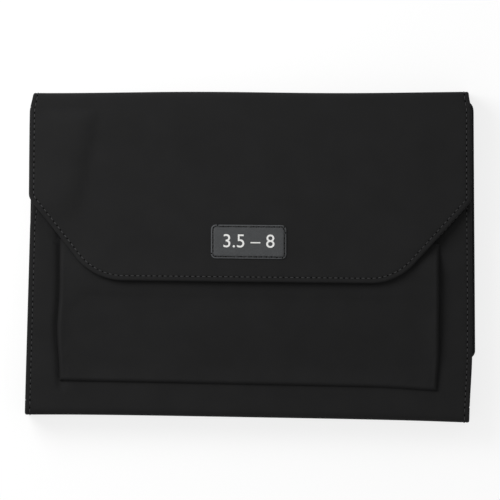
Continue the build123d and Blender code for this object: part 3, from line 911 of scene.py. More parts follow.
def fold_bands():
    """Cloth over each of the four folds; neighbours meet half way up each spine."""
    soft, reach = 3.4, 6.0  # how far from the fold's line the cloth starts to turn
    toward, away, up, down = [np.array(way) for way in ((-1, 0), (1, 0), (0, 1), (0, -1))]
    top, low = (TOP_FOLD[1] - TOP_FOOT[1]) / 2, (LOW_FOLD[1] - LOW_FOOT[1]) / 2
    panel, spine, base = CASE_THICK, SPINE_THICK, BACK_THICK
    # Each band: its fold, its two arms with their lengths, its lie, its thickness, the two bodies with
    # the arms from the fold into them, and the nodes that it stands for.
    bands = {
        "top_fold": (
            TOP_FOLD, (DOWN_FLAP, FLAP_START), (down, top), FLAP_LIE, (panel, spine),
            ("top_spine", down), ("flap_upper", toward), ["flap_fold_strips"],
        ),
        "top_foot": (
            TOP_FOOT, (up, top), (toward, FLAP_START), BACK_LIE, (spine, base),
            ("back", toward), ("top_spine", up), ["top_spine", "back_fold_strips"],
        ),
        "low_fold": (
            LOW_FOLD, (down, low), (away, FLAP_START), FRONT_LIE, (spine, panel),
            ("bottom_spine", down), ("front", away), ["front_fold_strip"],
        ),
        "low_foot": (
            LOW_FOOT, (away, FLAP_START), (up, low), BACK_LIE, (base, spine),
            ("back", away), ("bottom_spine", up), ["bottom_spine"],
        ),
    }
    for name, (fold, (arm_a, run_a), (arm_b, run_b), lie, thick, first, second, nodes) in bands.items():
        turn = bezier(fold + arm_a * soft, fold, fold + arm_b * soft)
        line = resampled(np.vstack([fold + arm_a * run_a, turn, fold + arm_b * run_b]), 0.9, ring=False)

        def place(y, z, marks):
            return lie(spread(marks, y, z, marks))

        cloth = strip(name + "_cloth", line, case_marks(), place, thick, CASE_CLOTH, seam=True)
        end = travelled(line)[-1] - STITCH_PITCH / 2
        sides = [MIDDLE_X + side * (HALF_WIDTH - SEAM_INSET) for side in (-1, 1)]
        rows = [row((x, STITCH_PITCH / 2, 0), (x, end, 0), 12) for x in sides]
        thread = stitches(name + "_topstitch", rows, None)
        shift(thread, 0, 0, max(thick) / 2 - THREAD_DEPTH)
        wrapped(thread, line, lie)
        for piece in (cloth, thread):
            first[0]
            second[0]
            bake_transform(piece)
        fitted(cloth, "case_cloth", None, *nodes)


# ---------------------------------------------------------------- cloth that settles
def settled(points, rows, wide, held, pull, spare, up_most, down_most):
    """Where a grid of loose cloth comes to rest: held points stay, and the rest moves by a limited amount.

    The cloth is larger than its frame by the spare share, so it ripples a little between its seams.
    """
    mesh = bpy.data.meshes.new("loose_cloth")
    mesh.from_pydata([tuple(p * MM) for p in points], [], skin(rows, wide))
    host = linked("loose_cloth", mesh)
    group = host.vertex_groups.new(name="sewn_down")
    group.add([int(k) for k in np.flatnonzero(held)], 1.0, "REPLACE")
    cloth = host.modifiers.new("cloth", "CLOTH")
    settings = cloth.settings
    settings.quality = 8
    settings.mass = 0.15
    settings.tension_stiffness = settings.compression_stiffness = 20.0
    settings.shear_stiffness = 8.0
    settings.bending_stiffness = 0.6
    settings.air_damping = 4.0
    settings.vertex_group_mass = "sewn_down"
    settings.shrink_min = -spare
    settings.effector_weights.gravity = pull
    cloth.collision_settings.use_collision = False
    scene = bpy.context.scene
    for frame_number in range(1, 25):
        scene.frame_set(frame_number)
    shown = host.evaluated_get(bpy.context.evaluated_depsgraph_get())
    made = bpy.data.meshes.new_from_object(shown)
    moved = points_of(made) - points
    scene.frame_set(1)
    bpy.data.objects.remove(host)
    bpy.data.meshes.remove(made)
    sideways = 0.8
    return points + np.clip(moved, (-sideways, -sideways, -down_most), (sideways, sideways, up_most))


# ---------------------------------------------------------------- back and front
def flat_at(z, lie):
    """A place function for a level panel whose middle plane is at z."""

    def place(x, y, lift):
        return lie(np.column_stack([x, y, z + lift]))

    return place


def case_back():
    """The back's cloth, with a row of stitches down each side of its underside."""
    y0, y1 = LOW_FOOT[0] + FLAP_START, TOP_FOOT[0] - FLAP_START
    outline = np.array([(LEFT_EDGE, y0), (RIGHT_EDGE, y0), (RIGHT_EDGE, y1), (LEFT_EDGE, y1)])
    free = outline[[3, 0, 1, 2]] + [(0, way * RUN_ON) for way in (1, -1, -1, 1)]
    place = flat_at(LOW_FOOT[1], BACK_LIE)
    cloth = sewn_panel("back_cloth", outline, free, BACK_THICK, place, CASE_CLOTH, grid=8.0, lined=1)
    y = np.linspace(y0 + STITCH_PITCH / 2, y1 - STITCH_PITCH / 2, 40)
    under = np.full(len(y), THREAD_DEPTH - BACK_THICK / 2)
    rows = [place(np.full(len(y), x), y, under) for x in (LEFT_EDGE + SEAM_INSET, RIGHT_EDGE - SEAM_INSET)]
    stitches("back_topstitch", rows, "back", under=True)
    fitted(cloth, "case_cloth", "back", "back_panel")


FRONT_EAR_Y = 35.0
FRONT_EDGE_Y = 12.0


def front():
    """The front's cloth, with its raised ears under the flap's slants."""
    y0 = LOW_FOLD[0] + FLAP_START
    outline = rounded(slanted(y0, FRONT_EAR_Y, FRONT_EDGE_Y), [0.3, 2.0, 5.0, 5.0, 2.0, 0.3])
    level = flat_at((FRONT_LOW[2] + FRONT_HIGH[2]) / 2, FRONT_LIE)

    def place(x, y, lift):
        """The panel dips beside the pocket, its upper face more than its lower one."""
        points = level(x, y, lift)
        points[:, 2] -= side_dip(points[:, 0], y) * np.where(lift > 0, 1.0, 0.5)
        return points

    free = free_edge(outline, y0, y0 - RUN_ON)
    sides = [edge + np.arange(-8, 8.1, 1.0) for edge in (POCKET_LOW[0], POCKET_HIGH[0])]
    fine = grid_of(np.concatenate(sides), np.arange(y0, 10, 2.5))
    cloth = sewn_panel("front_cloth", outline, free, CASE_THICK, place, CASE_CLOTH, lined=-1, fine=fine)
    fitted(cloth, "case_cloth", "front", "front_panel")
    stitches("front_topstitch", [stitch_line(free[1:-1], SEAM_INSET, place, CASE_THICK)], "front")


# ---------------------------------------------------------------- the pockets
POCKET_CROWN_Y = -8.0


def pocket_wander(y):
    """How far the pocket's sides wander: out at mid height on the left, and in at the foot on the right."""
    return -0.35 - 1.5 * hump(y + 42.0, 15), 1.4 - 1.5 * ramp(-y, 50, 75)


def side_dip(x, y):
    """How deep the panel is pulled down along the pocket's sides."""
    left, right = pocket_wander(y)
    left, right = x - POCKET_LOW[0] - left - 0.9, x - POCKET_HIGH[0] - right + 0.3
    return (1.9 * hump(left, 2.4) + 0.5 * hump(right, 2.6)) * ramp(y, -78, -68) * (1 - ramp(y, 5, 25))


def pocket_lie(points):
    """The pocket's points where they lie."""
    moved = POCKET_LIE(points)
    x, y = (moved[:, 0] - MIDDLE_X) / HALF_WIDTH, moved[:, 1]
    left, right = pocket_wander(y)
    moved[:, 0] += left * (1 - x) / 2 + right * (1 + x) / 2
    moved[:, 1] -= 1.3 * ramp(x, 0.55, 0.88) * ramp(-y, 30, 66)
    return moved


def pocket_grid(low, high, near, across, up):
    """A grid over a pocket, close together near its seams, and each point's distance to them."""
    across = np.concatenate([near, across, (high[0] - low[0]) - near[::-1]]) + low[0]
    x, y = np.meshgrid(across, np.concatenate([near, up]) + low[1])
    return x, y, np.minimum(np.minimum(x - low[0], high[0] - x), y - low[1])


def walled(edge, wall):
    """How high a pocket's cloth stands at a distance from its seams, as a share."""
    t = np.clip(1 - edge / wall, 0, 1)
    return np.sqrt(1 - t * t)


def sewn_on(piece, slot, node):
    """A pocket's cloth rides on the front, and the node that it stands for is hidden."""
    fitted(piece, slot, "front", node)


def patch_pocket():
    """The gusseted pocket: its face slopes down to a mouth that the flap hides."""
    low, high = POCKET_LOW, POCKET_HIGH
    wide, tall, deep = high - low
    cloth, seam_line, mouth_line = 0.8, 2.4, -22
    near = np.array([0, 0.3, 0.8, 1.5, 2.2, 3.0, 4.0])
    x, y, edge = pocket_grid(low, high, near, np.arange(7, wide - 6, 3.0), np.arange(6, tall + 0.1, 2.5))
    fall = ramp(y, POCKET_CROWN_Y, high[1])
    low_foot = 1 - 0.54 * (1 - ramp(y, low[1], low[1] + 40))
    height = deep * walled(edge, 2.2) * low_foot * (1 - fall * 0.62)
    height += 0.25 * ripple(x, y, 1.4) * ramp(edge, 2, 14)
    height += 0.28 * hump(edge - 1.6, 0.8) * (1 - fall)
    outer = np.column_stack([x.ravel(), y.ravel(), (low[2] + height).ravel()])
    held = (edge.ravel() < seam_line) | (y.ravel() > mouth_line)
    outer = settled(outer, *x.shape, held, pull=0.5, spare=0.006, up_most=0.3, down_most=0.9)
    inner = outer - (0, 0, cloth)
    inner[:, 2] = np.maximum(inner[:, 2], low[2])
    layers = [pocket_lie(layer) for layer in (outer, inner)]
    for layer in layers:
        foot = 1 - np.clip((layer[:, 2] - low[2]) / deep, 0, 1)
        layer[:, 2] -= side_dip(layer[:, 0], layer[:, 1]) * foot
    sewn_on(shell("pocket_cloth", *layers, *x.shape, CASE_CLOTH), "case_cloth", "front_pocket")


def zip_pouch():
    """The soft pocket inside the front: its window is the shut case's inner face."""
    low, high = span("zip_pocket")
    wide, tall, deep = high - low
    cloth, least_depth, seam_line, mouth_line = 0.5, 0.05, 4.2, high[1] - 3.2
    near = np.array([0, 0.2, 0.6, 1.2, 2.0, 3.0])
    up = np.append(np.arange(6, tall - 0.9, 3.0), tall)
    x, y, edge = pocket_grid(low, high, near, np.arange(6, wide - 5, 4.0), up)
    slack = 0.3 * (1 + ripple(x, y, 2.2)) * ramp(edge, 5, 18) * ramp(high[1] - y, 4, 14)
    depth = np.maximum(deep * walled(edge, 2.6) - slack, least_depth)
    outer = np.column_stack([x.ravel(), y.ravel(), (high[2] - depth).ravel()])
    held = (edge.ravel() < seam_line) | (y.ravel() > mouth_line)
    outer = settled(outer, *x.shape, held, pull=-0.5, spare=0.008, up_most=1.4, down_most=0.0)
    inner = outer + (0, 0, cloth)
    inner[:, 2] = np.minimum(inner[:, 2], high[2])
    piece = shell("zip_pouch", outer, inner, *x.shape, LINING)
    inset, face = 3.6, low[2] + 0.12
    left, right, foot = low[0] + inset, high[0] - inset, low[1] + inset
    mouth = high[1] - 2
    lines = [
        np.vstack([
            row((left, mouth, face), (left, foot, face), 50),
            row((left + 1, foot, face), (right - 1, foot, face), 120),
            row((right, foot, face), (right, mouth, face), 50),
        ]),
        row((left + 2, mouth - 0.4, face), (right - 2, mouth - 0.4, face), 120),
    ]
    stitches("zip_pouch_topstitch", lines, "front", "lining_cloth", under=True)
    sewn_on(piece, "lining_cloth", "zip_pocket")


# ---------------------------------------------------------------- the label and printed numbers
def joined(pieces, name, finish):
    """Several meshes as one piece in one finish."""
    shape = bmesh.new()
    for piece in pieces:
        shape.from_mesh(piece.data)
        bpy.data.objects.remove(piece)
    bmesh.ops.remove_doubles(shape, verts=shape.verts, dist=1e-7)
    bmesh.ops.recalc_face_normals(shape, faces=shape.faces)
    mesh = bpy.data.meshes.new(name)
    shape.to_mesh(mesh)
    shape.free()
    mesh.materials.clear()
    mesh.materials.append(finish)
    return linked(name, mesh)


def number(text, height, centre=(0, 0, 0), thick=0.12):
    """Plain numbers as a thin raised mesh."""
    curve = bpy.data.curves.new("number", "FONT")
    curve.body, curve.size, curve.extrude = text, height * MM, thick / 2 * MM
    curve.align_x = curve.align_y = "CENTER"
    piece = made_real(linked("number", curve), "number")
    shift(piece, *centre)
    return piece


def label():
    """The leather patch on the flap, its stitches, and the sizes that the case holds."""
    low, high = span("label_patch")
    tall, thick, corner, sunk, print_lift = 18.7, 1.0, 2.6, 0.1, 0.03
    x, middle = (low[0] + high[0]) / 2 + 0.3, down_flap((low[1] + high[1]) / 2) + 0.4
    half_x, half_y = (high[0] - low[0]) / 2, tall / 2
    corners = [(x + a * half_x, middle + b * half_y) for a, b in ((1, -1), (1, 1), (-1, 1), (-1, -1))]
    outline = rounded(corners, [corner] * 4, 0.4)

    def place(x, down, lift):
        return on_flap(x, down, lift + CASE_THICK / 2 + thick / 2 - sunk)

    free = closed(outline)
    loops = (0.1, 0.3, 0.6, 0.85, 1.05, 1.25, 1.5, 1.8, 2.2, 2.9)
    sizes = {"grid": 3.0, "step": 0.5, "seam": LABEL_INSET, "loops": loops}
    patch = sewn_panel("label_leather_patch", outline, free, thick, place, LEATHER, **sizes)
    # The leather's UV holds each point's distance from the edge, which places its painted stitch-furrow shade
    # and its painted rim highlight.
    layer = patch.data.uv_layers["cloth"]
    flat = np.empty(len(patch.data.loops) * 2)
    layer.data.foreach_get("uv", flat)
    from_edge = np.column_stack(nearest(flat.reshape(-1, 2) / MM, free))
    layer.data.foreach_set("uv", (from_edge * MM).ravel())
    fitted(patch, "label_leather", "flap_lower", "label_patch")
    seam = stitch_line(free, LABEL_INSET, place, thick)
    stitches("label_stitches", [seam], "flap_lower", "label_leather", DARK_THREAD, 2.8)
    printed = joined([number("3.5 \u2013 8", 10.4)], "label_print", PRINT)
    flat = points_of(printed.data)
    lift = flat[:, 2] + thick / 2 + print_lift
    put_points(printed.data, place(flat[:, 0] + x, middle - flat[:, 1], lift))
    fitted(printed, "label_leather", "flap_lower")


# ---------------------------------------------------------------- the needle page
def bound_edge(name, line, width=3.6, thick=0.25, core=1.0):
    """Tape folded over the edge of a flat sheet: a U section that follows its closed edge line."""
    ahead = np.roll(line, -1, axis=0) - np.roll(line, 1, axis=0)
    side = np.cross(ahead / np.linalg.norm(ahead, axis=1)[:, None], (0.0, 0.0, 1.0))
    turn = np.linspace(-math.pi / 2, math.pi / 2, 7)
    section = []
    for radius, way in ((core / 2 + thick, 1), (core / 2, -1)):
        bend = [(radius * math.cos(a), radius * math.sin(a)) for a in turn]
        section += [(-width, -radius), *bend, (-width, radius)][::way]
    section = np.array(section)
    rows, wide = len(line), len(section)
    points = line[:, None, :] + side[:, None, :] * section[None, :, :1]
    points[:, :, 2] += section[:, 1]
    cloth = np.column_stack([np.repeat(travelled(line), wide), np.tile(np.arange(wide) * 0.6, rows)])
    faces = skin(rows, wide, ring=True, loop=True)
    return mesh_object(name, points.reshape(-1, 3), faces, TAPE, cloth)


def needle_page():
    """The page that carries the slots, bound with tape round its edge."""
    x0, x1, y0, y1 = PAGE_LOW[0], PAGE_HIGH[0], PAGE_LOW[1] - 1.2, PAGE_HIGH[1]
    outline = rounded([(x0, y0), (x1, y0), (x1, y1), (x0, y1)], [4.0, 4.0, 4.5, 4.5])
    place = flat_at((PAGE_LOW[2] + PAGE_HIGH[2]) / 2, PAGE_LIE)
    sizes = {"grid": 9.0, "step": 1.4, "seam": None, "loops": (0.3, 1.2, 4.5)}
    page = sewn_panel("page_cloth", outline, closed(outline), 1.0, place, LINING, **sizes)
    fitted(page, "lining_cloth", "back", "needle_page")

    def laid(line, lift):
        return place(line[:, 0], line[:, 1], np.full(len(line), lift))

    binding = bound_edge("page_binding", laid(resampled(inward(outline, 0.55), 1.2), 0.0))
    fitted(binding, "binding_tape", "back")
    stitches("page_topstitch", [closed(laid(inward(outline, 3.0), 0.72))], "back", "binding_tape")


# ---------------------------------------------------------------- needles
PLAY = 0.3  # the room round a tip or a tool in its slot or loop
SLOT_CLOTH = 0.8
THREAD_LIFT = 0.02  # how far a stitch's middle stands over thin cloth
NEEDLE_SIZES = sorted(
    {float(node[6:].split("mm")[0].replace("_", ".")) for node in frame["nodes"] if node.startswith("shaft_")}
)


def needle_names(size, side):
    """A tip's shaft node, ferrule node and body."""
    label = f"{size:.1f}".replace(".", "_") + "mm_" + side
    return [part + label for part in ("shaft_", "ferrule_", "needle_")]


def turned(name, profile, centre, finish, sides=32):
    """A closed shape turned about the Y axis, from radius and Y pairs that run from axis to axis."""
    turn = [(math.cos(a), math.sin(a)) for a in np.arange(sides) * 2 * math.pi / sides]
    points, rows, faces = [], [], []
    for radius, y in profile:
        ring = [(radius * c, y, radius * s) for c, s in turn] if radius > 1e-6 else [(0, y, 0)]
        rows.append(range(len(points), len(points) + len(ring)))
        points += ring
    for low, high in zip(rows, rows[1:]):
        for k in range(sides):
            n = (k + 1) % sides
            face = [low[k % len(low)], low[n % len(low)], high[n % len(high)], high[k % len(high)]]
            faces.append(tuple(dict.fromkeys(face)))
    return mesh_object(name, np.array(points) + centre, faces, finish)


def wooden_tip(size, side):
    """A tip's wood, from inside its ferrule to its point."""
    shaft, ferrule, body = needle_names(size, side)
    low, high = span(shaft)
    sizes = {"Start": span(ferrule)[1][1] - 0.02, "End": high[1], "Radius": size / 2}
    sizes.update({"Taper": 9.0 + 2.6 * size, "Nose": 0.3 + 0.07 * size})
    values = {key: value * MM for key, value in sizes.items()}
    tip = grown(shaft + "_wood", TIP, {**values, "Finish": WOOD})
    shift(tip, (low[0] + high[0]) / 2, 0, (low[2] + high[2]) / 2)
    fitted(tip, "needle_wood", body, shaft)


def metal_end(size, side):
    """The ferrule: a threaded neck, a short cone and the sleeve round the wood, with a key hole."""
    _, ferrule, body = needle_names(size, side)
    low, high = span(ferrule)
    centre = np.array([(low[0] + high[0]) / 2, low[1], (low[2] + high[2]) / 2])
    radius, length = size / 2, high[1] - low[1]
    neck, bore, depth, turns = min(radius, 2.2), 1.1, 5.0, 7
    profile = [(0, depth), (bore * 0.98, depth)]
    for k in range(turns):
        y = depth - 0.4 - k * (depth - 1.0) / turns
        profile += [(bore, y), (bore + 0.16, y - 0.28)]
    profile += [(bore, 0.35), (bore + 0.2, 0), (neck - 0.2, 0), (neck, 0.25), (neck, 4.0)]
    if neck < radius:
        profile += [(radius, 7.0)]
    groove, lip, ease, cup = length - 2.2, radius - 0.35, 0.15, length - 1.0
    profile += [(radius, groove - 0.35), (radius - 0.14, groove), (radius, groove + 0.35)]
    profile += [(radius, length - ease), (radius - ease, length), (lip, length), (lip, cup), (0, cup)]
    piece = turned(ferrule + "_steel", profile, centre, STEEL, 28)
    key_radius, key_reach, key_place = 0.5, 5, 2.4
    rod = [(0, -key_reach), (key_radius, -key_reach), (key_radius, key_reach), (0, key_reach)]
    hole = turned("key_hole", rod, (0, 0, 0), STEEL, 16)
    hole.data.transform(Matrix.Rotation(math.pi / 2, 4, "Z"))
    shift(hole, *(centre + (0, key_place, 0)))
    modifier = piece.modifiers.new("key_hole", "BOOLEAN")
    modifier.object, modifier.operation, modifier.solver = hole, "DIFFERENCE", "EXACT"
    piece = made_real(piece, ferrule + "_steel")
    bpy.data.objects.remove(hole)
    piece.data.set_sharp_from_angle(angle=math.radians(40))
    fitted(piece, "ferrule_steel", body, ferrule)


# ---------------------------------------------------------------- the slots
def slot_places():
    """Each slot's middle and the size of the tips that it holds."""
    places = []
    for size in NEEDLE_SIZES:
        left, right = [span(needle_names(size, side)[0]) for side in ("left", "right")]
        places.append(((left[0][0] + right[1][0]) / 2, size))
    return places


def arch(x, half, base, crown, ease, foot, rise, few, many):
    """Points in X and Z that leave the base, go over a round thing at x and come down again."""
    start = bezier((x - half - foot, base), (x - half, base), (x - half, base + rise), few)
    shoulder = bezier((x - half, crown - ease), (x - half, crown), (x - half + ease, crown), many)
    up = np.vstack([start, shoulder])
    return np.vstack([up, up[::-1] * (-1, 1) + (2 * x, 0)])


def slot_line(step, outside=0.0):
    """The slot cloth's middle line across the page, in X and Z, over every pair of tips."""
    grow = SLOT_CLOTH / 2 + outside
    base = PAGE_HIGH[2] + grow
    arches = []
    for x, size in slot_places():
        half = size + 2 * PLAY + grow
        ease = min(0.62 * (size / 2 + PLAY + grow) + 0.4, half * 0.8)
        arches.append(arch(x, half, base, base + size + 2 * PLAY, ease, 1.2, 1.0, 6, 8))
    return resampled(np.vstack([(SLOTS_LOW[0], base), *arches, (SLOTS_HIGH[0], base)]), step, ring=False)


def slot_space(closed_y):
    """Turns X, Z and a place along the needles into a point; below closed_y the cloth goes flat."""
    floor = PAGE_HIGH[2] + SLOT_CLOTH / 2

    def place(x, z, marks):
        rise = np.broadcast_to(z, marks.shape) - floor
        flat = np.clip(rise, -SLOT_CLOTH / 2, SLOT_CLOTH / 2)
        open_share = 0.015 + 0.985 * ramp(marks, closed_y - 2.2, closed_y)
        return spread(x, marks, floor + flat + (rise - flat) * open_share, marks)

    return place


def slots():
    """The slots' cloth over the tips, the tape at its mouths, and the rows of stitches between."""
    low_y, mouth_y, step = SLOTS_LOW[1], SLOTS_HIGH[1], 0.75
    shut_y, stitched_y = low_y + 0.9, mouth_y - 5.6
    tape_wide, tape_over, tape_thick, tape_lift, thread_lift = 5.0, 0.15, 0.42, 0.62, 0.86
    marks = np.append(low_y - 2.0 + np.array([0, 0.5, 1.0, 1.4, 1.8, 2.2]), np.linspace(shut_y, mouth_y, 24))
    line, place = slot_line(step), slot_space(shut_y)
    cloth = strip("slot_cloth", line, marks, place, SLOT_CLOTH, LINING, round_ends=False)
    fitted(cloth, "lining_cloth", "back", "slot_panel")
    line, marks = slot_line(step, tape_lift), np.linspace(mouth_y - tape_wide, mouth_y + tape_over, 9)
    tape = strip("slot_mouth_tape", line, marks, slot_space(low_y), tape_thick, TAPE)
    fitted(tape, "binding_tape", "back", "slot_binding")
    top = PAGE_HIGH[2] + SLOT_CLOTH + THREAD_LIFT
    lines = []
    for x, size in slot_places():
        reach = size + 2 * PLAY + SLOT_CLOTH + 1.5
        for at in (x - reach, x + reach):
            lines.append(row((at, low_y - 1.2, top), (at, stitched_y, top), 30))
    foot_y = low_y - 1.4
    lines.append(row((SLOTS_LOW[0] + 1, foot_y, top), (SLOTS_HIGH[0] - 1, foot_y, top), 200))
    stitches("slot_stitches", lines, "back", "lining_cloth")
    over = slot_line(step, thread_lift)
    rows = [spread(over[:, 0], mouth_y - inset, over[:, 1], over[:, 0]) for inset in (0.9, 4.1)]
    stitches("slot_tape_stitches", rows, "back", "binding_tape")


def size_strip():
    """The ribbon under the slots, with the size of each pair."""
    low, high = span("size_strip")
    half, middle, top = (high[1] - low[1]) / 2, (high[1] + low[1]) / 2, high[2]
    line = row((low[1], (high[2] + low[2]) / 2), (high[1], (high[2] + low[2]) / 2), 9)

    def place(y, height, along):
        return spread(along, y, height + 0.05 * np.sin(along / 5.0), along)

    ribbon = strip("size_ribbon", line, np.linspace(low[0], high[0], 120), place, 0.4, TAPE)
    fitted(ribbon, "binding_tape", "back", "size_strip")
    numbers = [number(f"{size:g}", 4.2, (x, middle, top + 0.1)) for x, size in slot_places()]
    fitted(joined(numbers, "size_numbers", PRINT), "binding_tape", "back")
    rows = []
    for y in (middle - (half - 0.8), middle + (half - 0.8)):
        rows.append(row((low[0] + 1, y, top + THREAD_LIFT), (high[0] - 1, y, top + THREAD_LIFT), 200))
    stitches("size_ribbon_stitches", rows, "back", "binding_tape")


# ---------------------------------------------------------------- small tools and their elastic
LOOP_RADII = {"end_caps": 4.2, "connectors": 2.4, "cable_keys": 3.3}


def islands(node, axis=0):
    """The boxes of a node's separate solids, in order along an axis."""
    shape = bmesh.new()
    shape.from_mesh(frame["nodes"][node].data)
    bmesh.ops.remove_doubles(shape, verts=shape.verts, dist=1e-6)
    left, boxes = set(shape.verts), []
    while left:
        pile, found = [left.pop()], []
        while pile:
            vert = pile.pop()
            found.append(np.array(vert.co) / MM)
            for edge in vert.link_edges:
                other = edge.other_vert(vert)
                if other in left:
                    left.remove(other)
                    pile.append(other)
        boxes.append((np.min(found, axis=0), np.max(found, axis=0)))
    shape.free()
    return sorted(boxes, key=lambda box: box[0][axis])


def elastic_band():
    """One length of elastic that loops over every small tool, tacked down between them."""
    low, high = span("elastic_band")
    cloth = 0.7
    base = BACK_HIGH[2] + cloth / 2
    tools = [((a[0] + b[0]) / 2, radius) for node, radius in LOOP_RADII.items() for a, b in islands(node)]
    tools.sort()
    arches = []
    for x, radius in tools:
        half = radius + PLAY + cloth / 2
        arches.append(arch(x, half, base, base + 2 * (radius + PLAY), half * 0.85, 1.0, 0.9, 5, 9))
    line = resampled(np.vstack([(low[0], base), *arches, (high[0], base)]), 0.6, ring=False)

    def place(x, z, along):
        return spread(x, along, z, along)

    band = strip("elastic_cloth", line, np.linspace(low[1], high[1], 13), place, cloth, ELASTIC)
    fitted(band, "elastic", "back", "elastic_band")
    gaps = [(a + ra + b - rb) / 2 for (a, ra), (b, rb) in zip(tools, tools[1:])]
    top = BACK_HIGH[2] + cloth + THREAD_LIFT
    tacks = []
    for x in [low[0] + 2.0, *gaps, high[0] - 2.0]:
        tacks += [row((at, low[1] + 0.5, top), (at, high[1] - 0.5, top), 12) for at in (x - 0.4, x + 0.4)]
    stitches("elastic_bar_tacks", tacks, "back", "elastic")


def cap_profile(r, _):
    """An end cap: a domed foot, a ribbed grip and a threaded stud."""
    profile = [(0, 0), (r - 2.4, 0.05), (r - 1.2, 0.35), (r - 0.4, 1.1), (r, 2.0)]
    for y in 2.4 + np.arange(5):
        profile += [(r, y), (r - 0.22, y + 0.3), (r, y + 0.6)]
    profile += [(r, 7.6), (r - 0.4, 8.0), (1.25, 8.0), (1.0, 8.2)]
    for y in 8.4 + np.arange(7) * 0.55:
        profile += [(1.0, y), (0.82, y + 0.27)]
    return [*profile, (1.0, 12.25), (0.75, 12.5), (0, 12.5)]


def sleeve_profile(r, length):
    """A connector: a sleeve bored through, with a grip of six rings."""
    bore = 1.1
    profile = [(bore + 0.2, 0), (r - 0.25, 0), (r, 0.3), (r, length * 0.3)]
    for y in length * (0.3 + np.arange(6) * 0.4 / 6):
        profile += [(r, y + 0.1), (r - 0.18, y + 0.45), (r, y + 0.8)]
    profile += [(r, length - 0.3), (r - 0.25, length), (bore + 0.2, length), (bore, length - 0.25)]
    return [*profile, (bore, 0.25), (bore + 0.2, 0)]


def turned_set(node, name, profile, finish, slot, sides):
    """Turned pieces in the places of a node's solids, as one piece."""
    made = []
    for low, high in islands(node):
        foot = ((low[0] + high[0]) / 2, low[1], (low[2] + high[2]) / 2)
        outline = profile((high[0] - low[0]) / 2, high[1] - low[1])
        made.append(turned(node + "_part", outline, foot, finish, sides))
    fitted(smoothed(joined(made, name, finish), 40), slot, "back", node)


def refined(node, finish, slot):
    """A node's own shape with its edges eased, in one finish."""
    source = frame["nodes"][node]
    piece = linked(node + "_eased", source.data.copy())
    shape = bmesh.new()
    shape.from_mesh(piece.data)
    bmesh.ops.remove_doubles(shape, verts=shape.verts, dist=1e-6)
    bmesh.ops.dissolve_limit(shape, angle_limit=math.radians(2), verts=shape.verts, edges=shape.edges)
    bmesh.ops.recalc_face_normals(shape, faces=shape.faces)
    shape.to_mesh(piece.data)
    shape.free()
    modifier = piece.modifiers.new("eased_edges", "BEVEL")
    modifier.width, modifier.segments, modifier.limit_method = 0.12 * MM, 2, "ANGLE"
    modifier.angle_limit = math.radians(28)
    piece = made_real(piece, piece.name)
    piece.data.materials.clear()
    piece.data.materials.append(finish)
    fitted(smoothed(piece, 50), slot, source["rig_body"], node)


# ---------------------------------------------------------------- the zip
def zip_tapes():
    """The two tapes of the zip, one on each side of its teeth."""
    low, high = span("zip_tape")
    y = (low[1] + high[1]) / 2

    def place(across, z, along):
        return spread(along, across, z, along)

    tapes = []
    for k, (a, b) in enumerate(islands("zip_tape", 2)):
        line = row((y, a[2]), (y, b[2]), 6)
        tapes.append(strip(f"zip_tape_{k}", line, np.linspace(a[0], b[0], 60), place, 0.55, TAPE))
    for tape in tapes:
        fitted(tape, "binding_tape", "front")
    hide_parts("zip_tape")


def tooth_unit():
    """One zip tooth: a clamped foot and a rounded head, along Z from the tape's edge."""
    right = [(0.95, 0.0), (0.95, 0.75), (0.6, 1.1), (0.35, 1.35)]
    outline = [(-0.95, 0.0), *right, *[(-x, z) for x, z in right[:0:-1]]]
    half, count = 0.6, len(outline)
    points = [(x, side * half, z) for side in (-1, 1) for x, z in outline]
    points += [(x * 0.8, side * (half + 0.12), 0.12 + z * 0.75) for side in (-1, 1) for x, z in outline]
    faces = []
    for k in range(count):
        n = (k + 1) % count
        faces.append((k, n, n + count, k + count))
        faces.append((n, k, k + 2 * count, n + 2 * count))
        faces.append((k + count, n + count, n + 3 * count, k + 3 * count))
    faces += [tuple(range(2 * count, 3 * count)), tuple(range(4 * count - 1, 3 * count - 1, -1))]
    unit = mesh_object("tooth_unit", points, faces, ENAMEL, smooth=False)
    unit.hide_render = True
    return unit


def zip_teeth():
    """Two rows of teeth that mesh, set along the tapes' edges, between a stop at each end."""
    low, high = span("zip_teeth")
    parts = islands("zip_teeth")
    middle, y = (low[2] + high[2]) / 2, (low[1] + high[1]) / 2
    widest, mesh_depth = 1.95, 0.8  # of a tooth: across, and past the chain's middle
    teeth = [box for box in parts if box[1][0] - box[0][0] < widest]
    lower = [box for box in teeth if box[1][2] - middle < mesh_depth]
    upper = [box for box in teeth if middle - box[0][2] < mesh_depth]
    unit = tooth_unit()
    made = []
    for boxes, foot, up in ((lower, low[2], 1), (upper, high[2], -1)):
        xs = sorted((box[0][0] + box[1][0]) / 2 for box in boxes)
        pitch = (xs[-1] - xs[0]) / (len(xs) - 1)
        made.append(set_along("tooth_row", [[(x, y, 0.0) for x in xs]], unit, pitch, ENAMEL))
        made[-1].data.transform(Matrix.Scale(up, 4, (0, 0, 1)))
        shift(made[-1], 0, 0, foot)
    ease = bezier((0.55, -1.0), (0.85, -1.0), (0.85, -0.7), 4)
    profile = [(0, -1.0), *ease, *(ease[::-1] * (1, -1)), (0, 1.0)]
    for a, b in (parts[0], parts[-1]):
        stop = turned("zip_stop", profile, (0, 0, 0), ENAMEL, 16)
        stop.data.transform(Matrix.Rotation(math.pi / 2, 4, "Z"))
        shift(stop, *(a + b) / 2)
        made.append(stop)
    fitted(joined(made, "zip_chain", ENAMEL), "zip_metal", "front", "zip_teeth")
    bpy.data.objects.remove(unit)


